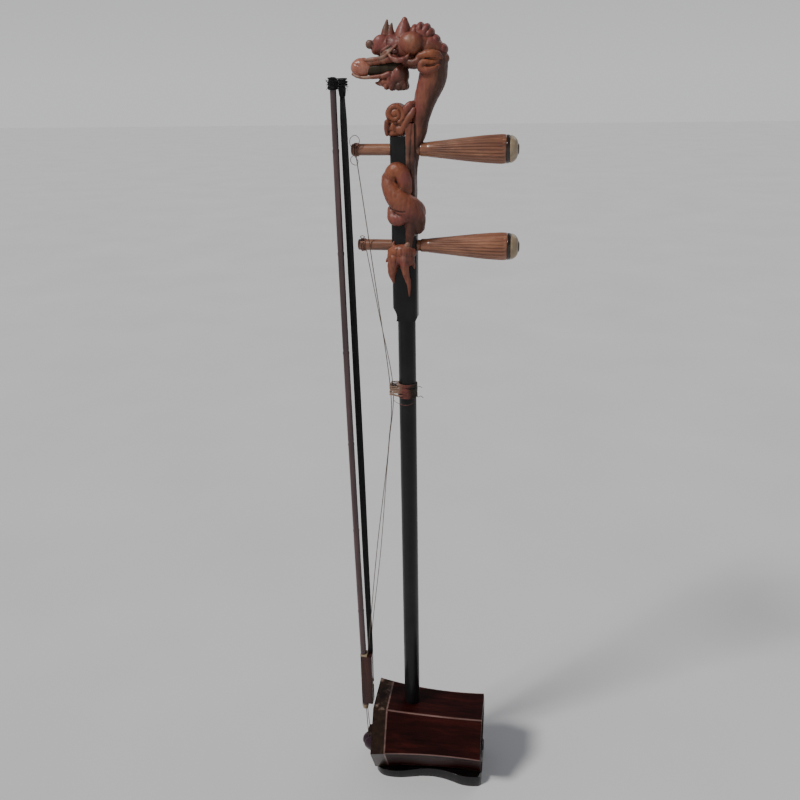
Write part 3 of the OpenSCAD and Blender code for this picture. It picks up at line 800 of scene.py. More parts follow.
def make_windings():
    wire = 0.42
    upper = Shape()
    upper.tube(helix((-48.3, 0, UPPER_Z), (1, 0, 0), (0, -1, 0), 5.9, 5, 0.95, per_turn=32), wire)
    upper.tube(helix((-48.0, 0, UPPER_Z), (1, 0, 0), (0, 0, 1), 6.15, 1.4, 1.6, 0.4, per_turn=32), wire)
    loops = [(-47.5, -5.9, 753), (-50.5, -7.2, 757), (-50.5, -6.5, 762.5), (-46, -5.5, 765.5),
             (-41.8, -6.4, 762), (-42.6, -7.4, 757.5), (-46, -7.6, 755.5)]
    upper.tube(spline(loops, 6), 0.3)
    tail = [(-46.5, -6, 748), (-50.4, -7.2, 745), (-49.8, -7.8, 740.5), (-45.4, -7.2, 738.5),
            (-43.6, -6.6, 742), (-46.5, -6.2, 746)]
    upper.tube(spline(tail, 6), 0.3)
    place(to_object("upper_winding_wire", upper), "upper_tuning_peg", "winding", ["upper_winding"])
    lower = Shape()
    lower.tube(helix((-44.3, 0, LOWER_Z), (1, 0, 0), (0, 1, 0), 5.9, 5, 0.95, per_turn=32), wire)
    lower.tube(helix((-44.0, 0, LOWER_Z), (1, 0, 0), (0, 0, 1), 6.2, 1.6, 1.5, 0.8, per_turn=32), wire)
    knot = [(-43, -1, 667.4), (-44.6, -3, 669.6), (-42.4, -4, 671), (-40.6, -2, 669.4), (-42.6, -1, 668)]
    lower.tube(spline(knot, 6), 0.34)
    place(to_object("lower_winding_wire", lower), "lower_tuning_peg", "winding", ["lower_winding"])


# ---------------------------------------------------------------- strings

INNER = [(-46, -6.4, UPPER_Z), (-32.2, -6.6, 640), (-17.4, -5.6, TIE_Z), (-20.4, -5.4, 452),
         (-26, -5.2, 403), (-37.8, -4.9, 311), (-49, -4.7, 204), (-54.4, -4.8, 150), (-57.6, -4.9, 98),
         (-56.4, -5, 42.9), (-56.4, -5, 38.1), (-52.6, -5, 13.2), (-45.5, -5, 4.2)]
OUTER = [(-42, 6.4, LOWER_Z), (-30, 6.5, 590), (-16.6, 5.4, TIE_Z), (-22, 5.2, 446),
         (-26.8, 5.1, 397), (-35.2, 4.9, 305), (-47.5, 4.8, 204), (-57.9, 4.9, 98),
         (-56.4, 5, 42.9), (-56.4, 5, 38.1), (-52.6, 5, 13.2), (-45.5, 5, 4.2)]


def make_strings():
    for name, route, radius in (("inner_string", INNER, 0.45), ("outer_string", OUTER, 0.4)):
        shape = Shape()
        shape.tube(spline(route, 8), radius, 10)
        place(to_object(f"{name}_wire", shape), "instrument", "string_steel", [name])


def make_string_tie():
    """Thread wound round the neck, out to both strings and back, with loose ends."""
    random.seed(11)
    shape = Shape()
    for z in (501.4, 502.6, 503.8, 513.6, 514.8, 516):
        shape.tube(helix((0, 0, z), (0, 0, 1), (1, 0, 0), NECK_R + 0.75, 1, 0.9, per_turn=40), 0.6, 6)
    for _ in range(14):
        tilt = random.uniform(-4.2, 4.2)
        mid = TIE_Z + random.uniform(-4.0, 3.6)
        out = TIE_Z + 0.55 * (mid - TIE_Z)
        reach = -18.0 + random.uniform(-0.5, 0.6)
        grow = 1 + random.uniform(0.7, 1.8) / 30
        loop = []
        for x, y in ((9.6, 0), (6.8, -6.8), (0, -9.7), (-9, -8.6), (reach + 1, -6.6), (reach, -4.4),
                     (reach, 4.4), (reach + 1, 6.6), (-9, 8.6), (0, 9.7), (6.8, 6.8)):
            level = out if x < -12 else mid
            loop.append((x * grow if x > 0 else x, y * grow, level + tilt * x / 18 + random.uniform(-0.25,
                0.25)))
        shape.tube(spline(loop + loop[:1], 6)[:-1], 0.52, 6, closed=True)
    ends = ([(9, -5, 505), (12, -7, 503.6), (15, -8.6, 505.4), (17.6, -9, 503.6)], [(9.4, -3, 512),
        (11.6, -6, 515), (13.6, -8, 516), (16, -8, 514.8)], [(-14, -8.2, 505), (-14, -9, 500),
        (-8, -11, 496.6), (0, -12, 495.4), (7, -11, 498), (9.6, -6, 502)])
    for points in ends:
        shape.tube(spline(points, 6), 0.3, 6)
    place(to_object("string_tie_thread", shape), "instrument", "thread", ["string_tie"])


# ---------------------------------------------------------------- bow

def stick_at(z):
    """Centre and radius of the stick at a height."""
    t = (z - BEND_LO) / (TIP_Z - BEND_LO)
    if t < 0:
        return (STICK_X, STICK_Y, z, 3.7)
    return (STICK_X - LEAN * math.sin(math.pi / 2 * t), STICK_Y - 3 * t, z, 3.55 - 0.55 * t)


def make_stick():
    joints = (232, 341, 448, 552, 655, 752)
    path = []
    z = STICK_LO
    while z <= TIP_Z - 0.6:
        x, y, _, r = stick_at(z)
        if z > BEND_LO + 2:
            r += sum(0.34 * math.exp(-((z - j) / 1.5) ** 2) - 0.2 * math.exp(-((z - j - 2.6) / 1.2) ** 2)
                     for j in joints)
        path.append((x, y, z, r))
        z += 1.0
    shape = Shape()
    shape.tube(path, sides=24, round_ends=False)
    place(to_object("bow_stick_bamboo", shape), "bow", "bow_bamboo", ["bow_stick"])


def make_hair():
    """A ribbon of loose hairs: it leaves the frog, spreads a little and gathers again at the tip."""
    random.seed(5)
    shape = Shape()
    for i in range(210):
        across, deep = random.uniform(-2.9, 2.9), random.uniform(-1.1, 1.1)
        path = []
        for k in range(27):
            t = k / 26
            spread = 1 + 0.1 * math.sin(math.pi * t) - 0.35 * math.exp(-(t / 0.02) ** 2)
            z = 804.5 - (804.5 - 172) * t
            wander = 0.35 * perlin.noise(Vector((i * 3.1, t * 4, 0.5)))
            path.append((-55.0 + 4.2 * t + across * spread + wander, -12.9 + 13.1 * t + deep * spread, z))
        for k in range(1, 6):
            t = k / 5
            path.append((-50.8 + 1.3 * t + across, 0.2 - 7.8 * t + deep, 172 - 34 * t))
        path.append((HAIR_END[0] + across, HAIR_END[1] + deep, 128))
        shape.tube(path, 0.16, 4, round_ends=False)
    place(to_object("bow_hair_strands", shape), "bow", "horsehair", ["bow_hair"])


def tangle(shape, centre, spread, count, length, thick):
    """Short stray ends that leave a knot in every direction."""
    for _ in range(count):
        a, b = random.uniform(0, math.tau), random.uniform(-0.7, 1)
        start = Vector(centre) + Vector((spread * math.cos(a), spread * math.sin(a), random.uniform(-3, 3)))
        out = Vector((math.cos(a), 0.8 * math.sin(a), b))
        bend = start + out * length * random.uniform(0.3, 0.5)
        end = bend + Vector((out.x * 0.5, out.y * 0.4, random.uniform(-1.4,
            0.9))) * length * random.uniform(0.3, 0.7)
        shape.tube(spline([start, bend, end], 5), thick, 4, round_ends=False)


def make_bindings():
    """Thread wound round the stick's tip and the hair, and the knots of hair at both ends."""
    random.seed(3)
    shape = Shape()
    tip_x, tip_y = STICK_X - LEAN, STICK_Y - 3
    for k in range(11):
        z = 806.8 + 0.86 * k
        swell = 4.3 + 0.5 * math.sin(k * 1.3) - 0.05 * k
        loop = [(tip_x + swell * math.cos(a) + 0.3 * math.sin(2 * a + k), tip_y + swell * math.sin(a),
                 z + 0.6 * math.sin(a + k)) for a in angles(20)]
        shape.tube(loop, 0.6, 6, closed=True)
    for k in range(5):
        z = 810.2 + 1.1 * k
        loop = [(tip_x + 4.7 + 8.4 * math.cos(a), tip_y + 1 + 4.0 * math.sin(a) + 0.3 * math.sin(3 * a + k),
                 z + 0.8 * math.sin(a + 1.7 * k)) for a in angles(28)]
        shape.tube(loop, 0.55, 6, closed=True)
    shape.ball((tip_x, tip_y, 815.4), (3.9, 3.8, 1.6), sides=20)
    tangle(shape, (tip_x, tip_y, 811), 4.0, 46, 3.4, 0.2)
    place(to_object("bow_tip_binding_thread", shape), "bow", "black_thread", ["bow_tip_binding"])
    tip = Shape()
    knot_x, knot_y = TIP_KNOT
    for _ in range(60):
        a = random.uniform(0, math.tau)
        lean = random.uniform(0.6, 3.0)
        bends = ((1.0, 0.8, 0.0, 800), (1.25, 1.0, 0.0, 806), (0.9, 1.0, 0.8, 811.4), (1.5, 1.0, 1.6, 814.8))
        strand = [(knot_x + wide * lean * math.cos(a + turn), knot_y + deep * lean * math.sin(a + turn), z)
                  for wide, deep, turn, z in bends]
        tip.tube(spline(strand, 5), 0.26, 5, round_ends=False)
    tangle(tip, (knot_x, knot_y, 810), 3.4, 60, 4.2, 0.15)
    tip.ball((knot_x, knot_y, 807.4), (3.1, 2.8, 4.6))
    place(to_object("tip_knot_hair", tip), "bow", "horsehair", ["tip_knot"])
    knot = Shape()
    end_x, end_y = HAIR_END
    for k in range(5):
        z = 125.9 + 0.8 * k
        loop = [(end_x + 3.0 * math.cos(a) + 0.2 * math.sin(3 * a), end_y + 1.5 * math.sin(a),
            z + 0.2 * math.sin(a)) for a in angles(16)]
        knot.tube(loop, 0.5, 6, closed=True)
    place(to_object("hair_knot_thread", knot), "bow", "black_thread", ["hair_knot"])


def make_frog():
    """Frog: the CAD block with softened edges."""
    place(rounded_copy("bow_frog_rounded", "bow_frog", 1.2, 4), "frog", "frog_wood", ["bow_frog"])


# ---------------------------------------------------------------- dragon

def both(points):
    """The same line on the near side and on the far side."""
    return [[(p[0], side * p[1], *p[2:]) for p in points] for side in NEAR_FAR]


def paired_limbs(s, points, sides, steps=6):
    for line in both(points):
        s.limb(line, sides, steps)


def paired_cuts(lines):
    """Each cut on the near side and on the far side."""
    return [(line, width, depth) for points, width, depth in lines for line in both(points)]


def make_carving(node, shape, melting, cuts, tooling, stains_and_painted_light, back=0.0):
    """Joins and cuts one carved piece and stains it, with spots of painted shade and painted highlight.
    melting is (voxel, smooth) and tooling (grain, seed).
    """
    obj = melt(to_object(f"{node}_carving", shape), *melting)
    carve(obj, cuts, *tooling)
    stain_and_painted_light_spots(obj.data, stains_and_painted_light, back)
    place(obj, "instrument", "carved_wood", [node])


def head_forms():
    """Skull, cheek balls, snout, nose, eyelids and upper lips."""
    s = Shape()
    s.ball((14, 0, 843), (17, 12, 10.5), (0, 8, 0), 32)
    s.ball((24, 0, 840), (13, 11, 11))
    s.ball((8, 0, 829), (10.5, 10.8, 6.8), (0, 10, 0))
    for side in NEAR_FAR:
        s.ball((9.4, side * 6.4, 843.4), (12.2, 9.2, 10.2), (0, 6, 0), 40)
        s.ball((-19.4, side * 3.8, 844.6), (7.6, 5.0, 7.2), (0, -10, 0), 28)
        s.ball((-30, side * 2.3, 843.7), (4.0, 3.2, 4.0), sides=18)
        s.ball((-13.5, side * 6.4, 838.5), (7.5, 3.6, 4.4), (0, -35, 0))
    s.limb([(6, 0, 840, 12), (-5, 0, 841.5, 10.6), (-14, 0, 842.4, 9.2), (-21, 0, 842.6, 8.0)], 32)
    s.limb([(-16, 0, 840.6, 7.4), (-21, 0, 839.8, 6.4), (-24.6, 0, 839.2, 4.6)], 24, 5)
    # lower lid, and the thin lip that runs from the eye to the bulb
    paired_limbs(s, [(-10.6, 9.6, 834.4, 1.6), (-8.6, 11.0, 831.8, 2.2), (-3, 12.2, 829.9, 2.6),
        (3.4, 12.6, 830.8, 2.3), (7, 12.6, 833.6, 1.4)], 16)
    paired_limbs(s, [(-4.4, 11.8, 841.8, 1.1), (-8, 10.9, 839.4, 1.2), (-11.6, 9.8, 836.4, 1.3),
        (-16.8, 8.0, 832.8, 1.5), (-23, 6.6, 831.6, 1.8), (-30, 5.0, 830.8, 2.0), (-36, 3.6, 830.2, 1.2)],
        12)
    paired_limbs(s, [(-6, 7.4, 832.4, 3.8), (-14, 6.4, 830.4, 3.0), (-23, 4.8, 829.2, 2.7),
        (-31, 2.6, 828.4, 3.2)], 14)
    # tuft of two points above the snout
    s.limb([(-15.6, 0, 850, 4.2), (-15.2, 0, 856, 2.8), (-14, 0, 863.4, 0.9)], 14, flat=1.2)
    s.limb([(-11, 0, 850.6, 3.8), (-10.8, 0, 855.6, 2.4), (-9.8, 0, 860.8, 0.8)], 14, flat=1.2)
    return s


def jaw_forms(s):
    """Lower jaw with its scalloped beard, and the rim below the bulb."""
    s.ball((-3.0, 0, 817.4), (8.6, 9.4, 10.6), (0, 0, 0), 32)
    s.ball((0.0, 0, 810.4), (5.0, 8.4, 6.4), sides=28)
    s.ball((-9.6, 0, 811.4), (8.6, 7.8, 6.6), (0, 8, 0), 28)
    s.ball((-16.4, 0, 811.8), (6.6, 6.2, 4.6), sides=24)
    s.ball((-8.0, 0, 815.0), (9.4, 8.8, 8.4), (0, 10, 0), 28)
    s.limb([(-18, 0, 811.6, 3.6), (-22.6, 0, 810.6, 2.2), (-25.6, 0, 811.0, 1.0)], 14, 5)
    for side in NEAR_FAR:
        for x, y, z, r in ((2.0, 6.0, 807.8, 2.9), (-3.4, 6.4, 807.6, 3.2), (-9.6, 5.6, 807.6, 3.1),
                           (-15.2, 4.0, 808.2, 2.7)):
            s.ball((x, side * y, z), (r, 2.4, r + 0.7), (0, 14, 0), 16)
    paired_limbs(s, [(-12, 6.2, 818.6, 2.6), (-18, 5.6, 817.0, 2.2), (-26, 4.8, 816.2, 1.8),
        (-35, 4.0, 815.8, 1.6), (-42, 2.8, 816.6, 1.5), (-46.8, 0.6, 819.0, 1.5)], 12)
    s.limb([(-16, 0, 816.2, 6.0), (-26, 0, 816.0, 5.2), (-36, 0, 815.8, 4.4), (-43, 0, 817.2, 2.6)],
        20, flat=0.3, up=(0, 1, 0))


def mane_forms(s):
    """Rounded locks round the back of the head, and the curled ear."""
    s.limb([(0.8, 0, 849, 9.0), (1.2, 0, 855, 7.0), (1.7, 0, 859.6, 5.0), (2.0, 0, 862.9, 2.9)], 28, flat=1.0)
    s.ball((17, 0, 850.6), (10.4, 9.0, 7.4), (0, 22, 0), 30)
    s.ball((31, 0, 840), (8.6, 9.2, 6.6), (0, 52, 0), 30)
    locks = ((11.2, 853.6, 4.4, 6.2, 8), (15.6, 855.0, 4.2, 6.8, 16), (20.8, 854.2, 4.4, 6.6, 30),
             (24.0, 851.2, 4.4, 6.2, 44), (29.6, 846.2, 4.8, 5.0, 50), (36.0, 838.4, 5.4, 5.4, 60),
             (37.4, 830.8, 5.0, 5.2, 80))
    for x, z, wide, tall, lean in locks:
        s.ball((x, 0, z), (wide, 8.6 - 0.05 * abs(x - 10), tall), (0, lean, 0), 28)
    paired_limbs(s, [(15.5, 11.6, 831.4, 3.2), (19.7, 12.6, 833.8, 3.6), (27.0, 13.0, 834.6, 3.9),
        (32.6, 12.0, 833.6, 3.5), (36.0, 10.8, 831.4, 2.2)], 16)
    paired_limbs(s, [(32.6, 12.0, 829.0, 1.8), (28.0, 12.8, 827.6, 2.4), (23.4, 13.2, 828.2, 2.8),
        (19.0, 13.0, 826.6, 3.6), (18.6, 12.8, 822.8, 3.8), (24.2, 13.0, 821.0, 3.7),
        (30.0, 12.4, 822.2, 3.2), (34.2, 11.2, 824.8, 1.8)], 16)
    paired_limbs(s, [(6.4, 10.6, 828.6, 3.0), (11.4, 12.2, 827.4, 3.4), (15.4, 12.6, 829.4, 3.2)], 14)


def head_cuts():
    """Chisel lines of the head: round the cheek ball, eye rim, nostril, jaw folds, ear and mane partings."""
    lines = (
        ([(-3.0, 12, 845), (0.4, 12.4, 850.4), (7, 12, 853.8), (14, 12, 853)], 1.0, 1.1),
        ([(14, 12, 853), (20.4, 12.4, 848), (21.6, 13.6, 841), (18, 14.6, 837)], 1.0, 0.8),
        ([(-9, 10.6, 841.6), (-15, 9, 838.4), (-21, 8, 835.4), (-26, 6.6, 834.4)], 0.8, 1.1),
        ([(-9.2, 11.2, 836.4), (-7.4, 12.4, 833.8), (-2.6, 13.6, 832.4), (3.4, 14, 833.6)], 0.6, 0.8),
        ([(-12.4, 8.8, 843), (-12.8, 8.4, 848), (-12, 5, 852.6)], 0.9, 1.0),
        ([(-26.4, 6, 840.6), (-26.8, 5, 845.4), (-26, 3, 849)], 0.7, 0.9),
        ([(-8.4, 10, 827.4), (-2, 11, 826.4), (5, 11.6, 824.6)], 0.9, 1.2),
        ([(-1.4, 9.8, 806), (0.2, 10, 813), (0.8, 10.2, 822)], 0.7, 0.7),
        ([(-6.6, 9.4, 806), (-6.4, 9.8, 812), (-5.4, 10, 819)], 0.7, 0.7),
        ([(-11.6, 8, 807), (-11.4, 8.4, 812), (-10.6, 8.6, 817)], 0.6, 0.6),
        ([(11.6, 12, 829.4), (13.4, 13, 834), (17.6, 13.4, 837.6), (26, 13, 839)], 0.9, 1.1),
        ([(22.4, 14.6, 831.0), (27, 15, 830.8), (30.6, 14.4, 831)], 0.7, 0.9),
        ([(23.4, 15, 824.9), (27, 15, 824.7), (31, 14, 825.8)], 0.7, 0.9),
    )
    cuts = paired_cuts(lines)
    for root, tip in (((7.6, 854), (7.8, 858)), ((13, 857), (13.2, 861)), ((18, 856), (18.4, 861)),
                      ((22.8, 853), (24.6, 857))):
        for y in (-6, -2, 2, 6):
            cuts.append(([(root[0], y, root[1]), (tip[0], y, tip[1])], 0.8, 0.35))
    return cuts


# Spots on the head: the dark spots are painted shade, the rose spot over the brow hollow also stands in for
# shade, and the pale spot on the cheek ball is a painted highlight.
HEAD_STAINS_AND_PAINTED_LIGHT = {
    "rose": (((-20, 845, 9), 0.8), ((-10, 847, 7), 0.85), ((2, 858, 9), 0.8), ((18, 857, 10), 0.9),
        ((30, 848, 6), 0.9), ((39, 839, 6), 0.9), ((-3, 830, 6), 0.7), ((1, 842, 5), 0.5),
        ((22, 820, 5), 0.5), ((-8, 818, 9), 0.45)),
    "amber": (((26, 832, 9), 0.9), ((10, 844, 9), 0.35), ((22, 824, 5), 0.5)),
    "pale": (((-31, 844, 4.6), 0.4), ((-14, 860, 6), 0.3), ((-11, 838, 3.6), 0.75),
        ((-18, 833, 4), 0.55), ((-30, 832, 5), 0.35), ((9, 847, 4), 0.3), ((-34, 814.5, 5), 0.7),
        ((-44, 816, 4), 0.7), ((-5, 828.5, 3.2), 0.4)),
    "painted_shade": (((-31, 844, 4.6), 0.55), ((-14, 859, 7), 0.6), ((-1, 808, 9), 0.75), ((4, 819, 8), 0.8),
        ((8, 827, 6), 0.5), ((18, 842, 6), 0.35), ((-9.5, 847, 5), 0.35), ((-20, 836, 4), 0.4),
        ((27, 842, 4), 0.4)),
}


def make_head():
    s = head_forms()
    jaw_forms(s)
    mane_forms(s)
    # Faces of the head that look backward get painted shade.
    make_carving("dragon_head", s, (0.45, 3), head_cuts(), (0.25, 4), HEAD_STAINS_AND_PAINTED_LIGHT, 0.4)
    # A dark solid fills the open mouth: painted shade where the inside of the mouth lies in shadow.
    throat = Shape()
    throat.limb([(-5, 0, 823.6, 6.8), (-13, 0, 823.4, 6.8), (-22, 0, 822.8, 6.2), (-30, 0, 822.4, 5.2)], 24)
    obj = melt(to_object("dragon_mouth_shade", throat), 0.6, 2)
    crease_shade_and_dirt(obj.data)
    place(obj, "instrument", "carved_wood", material=MATERIALS["mouth_shade"])


def make_head_details():
    """The eyes, and the bulb in the mouth."""
    eyes = Shape()
    for side in NEAR_FAR:
        eyes.ball((-5.4, side * 10.0, 837.4), (3.0, 2.2, 2.6))
    place(to_object("dragon_eyes_glass", eyes), "instrument", "eye", ["dragon_eyes"])
    pearl = Shape()
    pearl.ball((-38.2, 0, 824.6), (10.6, 7.0, 8.2), (0, -4, 0), 32)
    obj = melt(to_object("dragon_pearl_carving", pearl), 0.4, 2)
    carve(obj, paired_cuts([([(-46, 4, 828), (-40, 7, 826), (-33, 5, 822)], 0.8, 0.35)]), 0.3, 9)
    place(obj, "instrument", "bead", ["dragon_pearl"])


def make_neck_carving():
    s = Shape()
    arch = [(8.6, 0, 728, 3.6), (9, 0, 738, 4.4), (10.5, 0, 756, 6.5), (14, 0, 768, 8.2), (16, 0, 780, 8.8),
            (20.5, 0, 797, 11.2), (27, 0, 814, 13.6), (29, 0, 829, 13.2)]
    s.limb(arch, 28, flat=0.94)
    s.box((2.4, -9.7, 690), (11.0, 9.7, 776))
    s.box((2.4, -9.0, 676), (11.2, 9.0, 700))
    cuts = paired_cuts([([(6.6, 10, 690), (6.6, 10, 745), (8, 9, 765), (10, 9, 780), (14, 11, 797),
                          (20, 12.5, 812)], 0.7, 0.8)])
    for k in range(9):
        z = 770 + 6.2 * k
        x = 5.5 + 0.12 * (z - 770) + 0.0035 * (z - 770) ** 2
        cuts.append(([(x - 2, -8, z), (x - 3.4, 0, z - 2.2), (x - 2, 8, z)], 0.5, 0.45))
    # The dark spots down the block and the strong darkening of faces that look backward are painted shade.
    make_carving("dragon_neck", s, (0.6, 4), cuts, (0.3, 2), {
        "rose": (((8, 812, 12), 0.7), ((6, 790, 12), 0.8)), "amber": (((30, 822, 10), 0.4),),
        "pale": (((3.2, 752, 5), 0.35), ((3.2, 744, 5), 0.35)),
        "painted_shade": (((10, 750, 9), 0.75), ((9, 735, 10), 0.85), ((9, 718, 12), 0.85), ((9, 700, 12), 0.8),
        ((20, 778, 9), 0.5))}, 0.85)


def make_scroll():
    s = Shape()
    mid_x, mid_z = SCROLL
    s.box((-13.6, -7.6, 764.6), (0.8, 7.6, 778))
    for side in NEAR_FAR:
        s.ball((-10.2, side * 6.2, 771.4), (5.2, 3.6, 5.0), (0, -15, 0), 24)
        s.ball((-3.0, side * 6.4, 769.6), (4.6, 3.8, 4.9), sides=24)
        s.ball((-9.4, side * 5.8, 767.0), (5.4, 3.4, 2.9), sides=20)
        s.ball((2.2, side * 6.0, 773.6), (3.4, 3.6, 6.2), (0, 20, 0), 20)
    s.box((-2, -8.6, 777), (8.6, 8.6, 787))
    paired_limbs(s, [(-1, 7, 781, 3.4), (3.6, 7.2, 788.6, 3.6), (7.4, 7, 792.4, 3.0),
        (10.4, 6.4, 793.6, 1.8)], 16)
    paired_limbs(s, [(-2, 7.6, 768, 2.6), (2.6, 7.6, 776, 3.4), (7.2, 7.4, 782.4, 3.4),
        (10.4, 7, 788, 2.4)], 16)
    for side in NEAR_FAR:
        path = []
        for k in range(46):
            t = k / 45
            a = math.radians(-60) + 2.3 * math.tau * t * 0.78
            r = 7.6 * (1 - t) + 0.8
            path.append((mid_x + r * math.cos(a), side * (8.2 + 1.6 * t), mid_z + r * math.sin(a),
                2.7 - 1.1 * t))
        s.tube(path, sides=12)
        s.ball((mid_x, side * 10.0, mid_z), (2.2, 1.8, 2.2))
    rings = []
    for y in (-8.4, -7.6, 7.6, 8.4):
        r = 8.4 if abs(y) > 8 else 9.3
        rings.append([(mid_x + r * math.cos(a), y, mid_z - r * math.sin(a)) for a in angles(40)])
    s.rings(rings)
    paired_limbs(s, [(-15, 8.5, 766, 1.6), (-15.4, 8.8, 772, 2.2), (-14.6, 9, 777, 2.6)], 12, 5)
    cuts = paired_cuts([([(-15, 9, 776.4), (-9, 10, 774.6), (-3, 10, 775.6), (1, 10, 779)], 0.8, 0.7),
                        ([(-14, 9, 768.4), (-9, 10, 769.4), (-6.4, 10, 771.4)], 0.7, 0.6)])
    make_carving("cloud_scroll", s, (0.5, 3), cuts, (0.25, 6), {
        "amber": (((-6, 782, 12), 0.6), ((-6, 768, 8), 0.4)), "rose": (((6, 790, 6), 0.6),)})


def make_coil():
    """The body wound round the block: an upper lobe, a diagonal band and a paw below it."""
    s = Shape()
    path = []
    for k in range(40):
        t = k / 39
        a = math.radians(342 * t - 70)
        path.append((-0.6 - 13.4 * math.cos(a), -12.4 * math.sin(a), 731 - 50 * t, 8.8 - 2.2 * t * t))
    s.tube(path, sides=28)
    s.limb([(-10.4, -7, 729, 8.6), (-7.6, -10, 733, 8.2), (-2.4, -11, 732.4, 7.8), (1.6, -11, 725, 7.2),
        (3.4, -10.4, 716, 5.6)], 26)
    s.limb([(-13.6, -6, 726, 8.0), (-11, -8.4, 716, 9.6), (-4, -10.4, 706, 11.0), (4.4, -10, 699, 11.8),
        (10.2, -6, 690, 10.6), (11.4, -2, 681, 8.6)], 30)
    s.limb([(-11, -8.6, 697, 5.0), (-9.4, -11, 690, 6.4), (-4.8, -12.4, 688.6, 6.4),
        (0.6, -12.6, 690.4, 5.6), (5, -12, 690, 5.0)], 22)
    s.limb([(7, -8.6, 688, 7.0), (6.4, -9.4, 678, 5.4), (5.4, -9.6, 670, 4.0), (4.6, -9.8, 663, 3.4)], 20)
    cuts = [([(-8.8, -18, 724.6), (-4, -19.6, 721), (2.6, -20, 717.6), (8, -18, 712.6)], 1.4, 2.0),
            ([(-14, -12, 700), (-9, -17, 697.4), (-3, -20.4, 696.4), (3, -21, 697)], 0.9, 1.1),
            ([(6.6, -20, 691), (8.4, -18, 684), (8.4, -16, 678)], 0.9, 0.9),
            ([(-3.6, -19, 684), (-3.4, -19.6, 689), (-1, -19.4, 693)], 0.7, 0.6)]
    # The dark spots low on the right and in the fold are painted shade.
    make_carving("dragon_coil", s, (0.6, 4), cuts, (0.35, 3), {
        "amber": (((-8, 733, 9), 0.7), ((-6, 714, 12), 0.45)),
        "rose": (((1, 727, 7), 0.8), ((-4, 689, 9), 0.6), ((8, 690, 10), 0.4)),
        "painted_shade": (((13, 680, 12), 0.75), ((6, 668, 8), 0.7), ((4, 718.5, 4), 0.4))})


def make_claw():
    """Flame-shaped leaf and claws below the lower peg."""
    s = Shape()
    s.limb([(-12, -8.6, 656, 5.0), (-6, -10.4, 657.6, 6.2), (1, -11, 657.6, 6.6), (7.4, -9.4, 656, 4.8)], 24)
    s.ball((-10.6, -9.4, 652), (6.6, 5.2, 8.4), sides=24)
    s.ball((4.2, -10.4, 650.6), (6.0, 4.8, 7.6), (0, -12, 0), 24)
    s.ball((-3.4, -11.4, 651.6), (6.0, 4.4, 8.0), sides=24)
    s.limb([(-9.4, -10.6, 650, 6.0), (-11.4, -9.6, 643, 5.6), (-12.4, -8.6, 635, 4.2),
        (-11.2, -8.2, 625.4, 1.2)], 20)
    s.limb([(0, -12.2, 651, 5.0), (0.6, -12, 643, 4.4), (2.0, -11.4, 634, 3.4), (4.4, -10.6, 624, 2.2),
        (4.6, -10.2, 612.6, 0.8)], 18)
    s.limb([(0.4, -11.6, 660, 3.2), (4.4, -11.6, 665, 2.4), (6.6, -11.2, 668.4, 1.2)], 14)
    s.limb([(-9, -9.8, 660, 3.0), (-10.6, -9.6, 663.6, 2.0), (-10, -9.4, 666.4, 0.9)], 14)
    s.limb([(-12, -9, 650, 3.0), (-16, -8, 649, 2.4), (-18.2, -7.4, 646.4, 1.1)], 12)
    s.limb([(5, -10.4, 650, 3.2), (8.6, -9.6, 645, 2.2), (9.6, -9.4, 640.6, 1.0)], 12)
    cuts = [([(-6.4, -16, 660), (-6.8, -16.6, 652), (-7.6, -15.6, 644)], 0.9, 0.6),
            ([(-13, -14.4, 656), (-14.6, -14, 647), (-14, -12.6, 636)], 0.7, 0.5),
            ([(-1.6, -17, 660), (-1.8, -17, 651), (-1.4, -16, 642)], 0.8, 0.5),
            ([(3.4, -16.6, 657), (3.6, -16.4, 649), (4.6, -15, 641)], 0.8, 0.5),
            ([(7.6, -14, 660), (8.4, -14, 653)], 0.7, 0.5)]
    # The dark spot on the right is painted shade; the pale spots are painted highlights on the ridges.
    make_carving("dragon_claw", s, (0.45, 4), cuts, (0.3, 8), {"amber": (((-10, 657, 7), 0.6),),
        "rose": (((-2, 650, 8), 0.5),), "pale": (((4, 664, 3), 0.5), ((0.6, 652, 3.4), 0.25)),
        "painted_shade": (((8, 650, 6), 0.4),)})


# ---------------------------------------------------------------- floor, light and camera

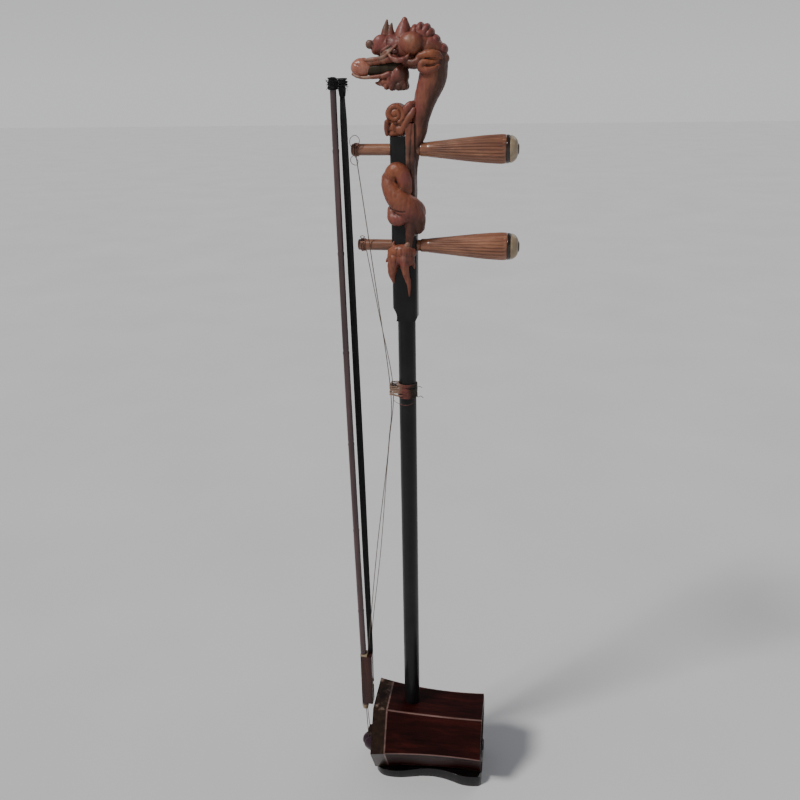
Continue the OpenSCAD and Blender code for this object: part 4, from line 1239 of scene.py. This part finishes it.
def make_stage():
    mesh = bpy.data.meshes.new("floor")
    size = 14.0
    mesh.from_pydata([(-size, -size, 0), (size, -size, 0), (size, size, 0), (-size, size, 0)], [],
        [(0, 1, 2, 3)])
    floor = link("floor", mesh)
    f = Finish("floor_paper")
    f.colour(f.ramp(f.noise(3, 3), [(0.3, (0.63, 0.63, 0.64)), (0.7, (0.67, 0.67, 0.68))]))
    f.rough(0.95)
    f.set(Specular_IOR_Level=0.0)
    mesh.materials.append(f.material)
    world = bpy.data.worlds.new("studio")
    world.use_nodes = True
    nodes, wires = world.node_tree.nodes, world.node_tree.links
    aim = nodes.new("ShaderNodeSeparateXYZ")
    wires.new(nodes.new("ShaderNodeTexCoord").outputs["Generated"], aim.inputs["Vector"])
    ramp = nodes.new("ShaderNodeValToRGB")
    ramp.color_ramp.elements[0].color = (0.68, 0.68, 0.69, 1)
    ramp.color_ramp.elements[1].color = (0.2, 0.21, 0.23, 1)
    ramp.color_ramp.elements[1].position = 0.6
    wires.new(aim.outputs["Z"], ramp.inputs["Fac"])
    wires.new(ramp.outputs["Color"], nodes["Background"].inputs["Color"])
    nodes["Background"].inputs["Strength"].default_value = 1.0
    bpy.context.scene.world = world


def sun(name, source, strength, spread, colour):
    """Distant soft light that shines from the source's direction."""
    data = bpy.data.lights.new(name, "SUN")
    data.energy = strength
    data.angle = math.radians(spread)
    data.color = colour
    obj = bpy.data.objects.new(name, data)
    bpy.context.scene.collection.objects.link(obj)
    obj.rotation_euler = (-Vector(source)).to_track_quat("-Z", "Y").to_euler()


def make_lights():
    sun("key", (-1.4, -1.1, 2.0), 2.7, 12, (1.0, 0.97, 0.94))
    sun("back", (0.9, 1.5, 1.3), 0.35, 30, (1.0, 0.98, 0.96))


def make_camera():
    """Camera at the photograph's viewpoint."""
    data = bpy.data.cameras.new("camera")
    data.sensor_width = SENSOR
    data.lens = LENS
    data.clip_start = 0.01
    camera = bpy.data.objects.new("camera", data)
    bpy.context.scene.collection.objects.link(camera)
    yaw, pitch, roll = (math.radians(a) for a in (CAMERA_YAW, CAMERA_PITCH, CAMERA_ROLL))
    turn = Matrix.Rotation(yaw, 3, "Z") @ Matrix.Rotation(pitch, 3, "X") @ Matrix.Rotation(roll, 3, "Y")
    right, ahead, up = turn.col[0], turn.col[1], turn.col[2]
    pose = Matrix((right, up, -ahead)).transposed().to_4x4()
    pose.translation = Vector(CAMERA_PLACE)
    camera.matrix_world = pose
    bpy.context.scene.camera = camera


dress_cad()
make_rounded_parts()
make_damper_pad()
make_peg("upper", UPPER_Z, UPPER_FRONT, 26)
make_peg("lower", LOWER_Z, LOWER_FRONT, 26)
make_windings()
make_strings()
make_string_tie()
make_stick()
make_hair()
make_bindings()
make_frog()
make_head()
make_head_details()
make_neck_carving()
make_scroll()
make_coil()
make_claw()
make_stage()
make_lights()
make_camera()
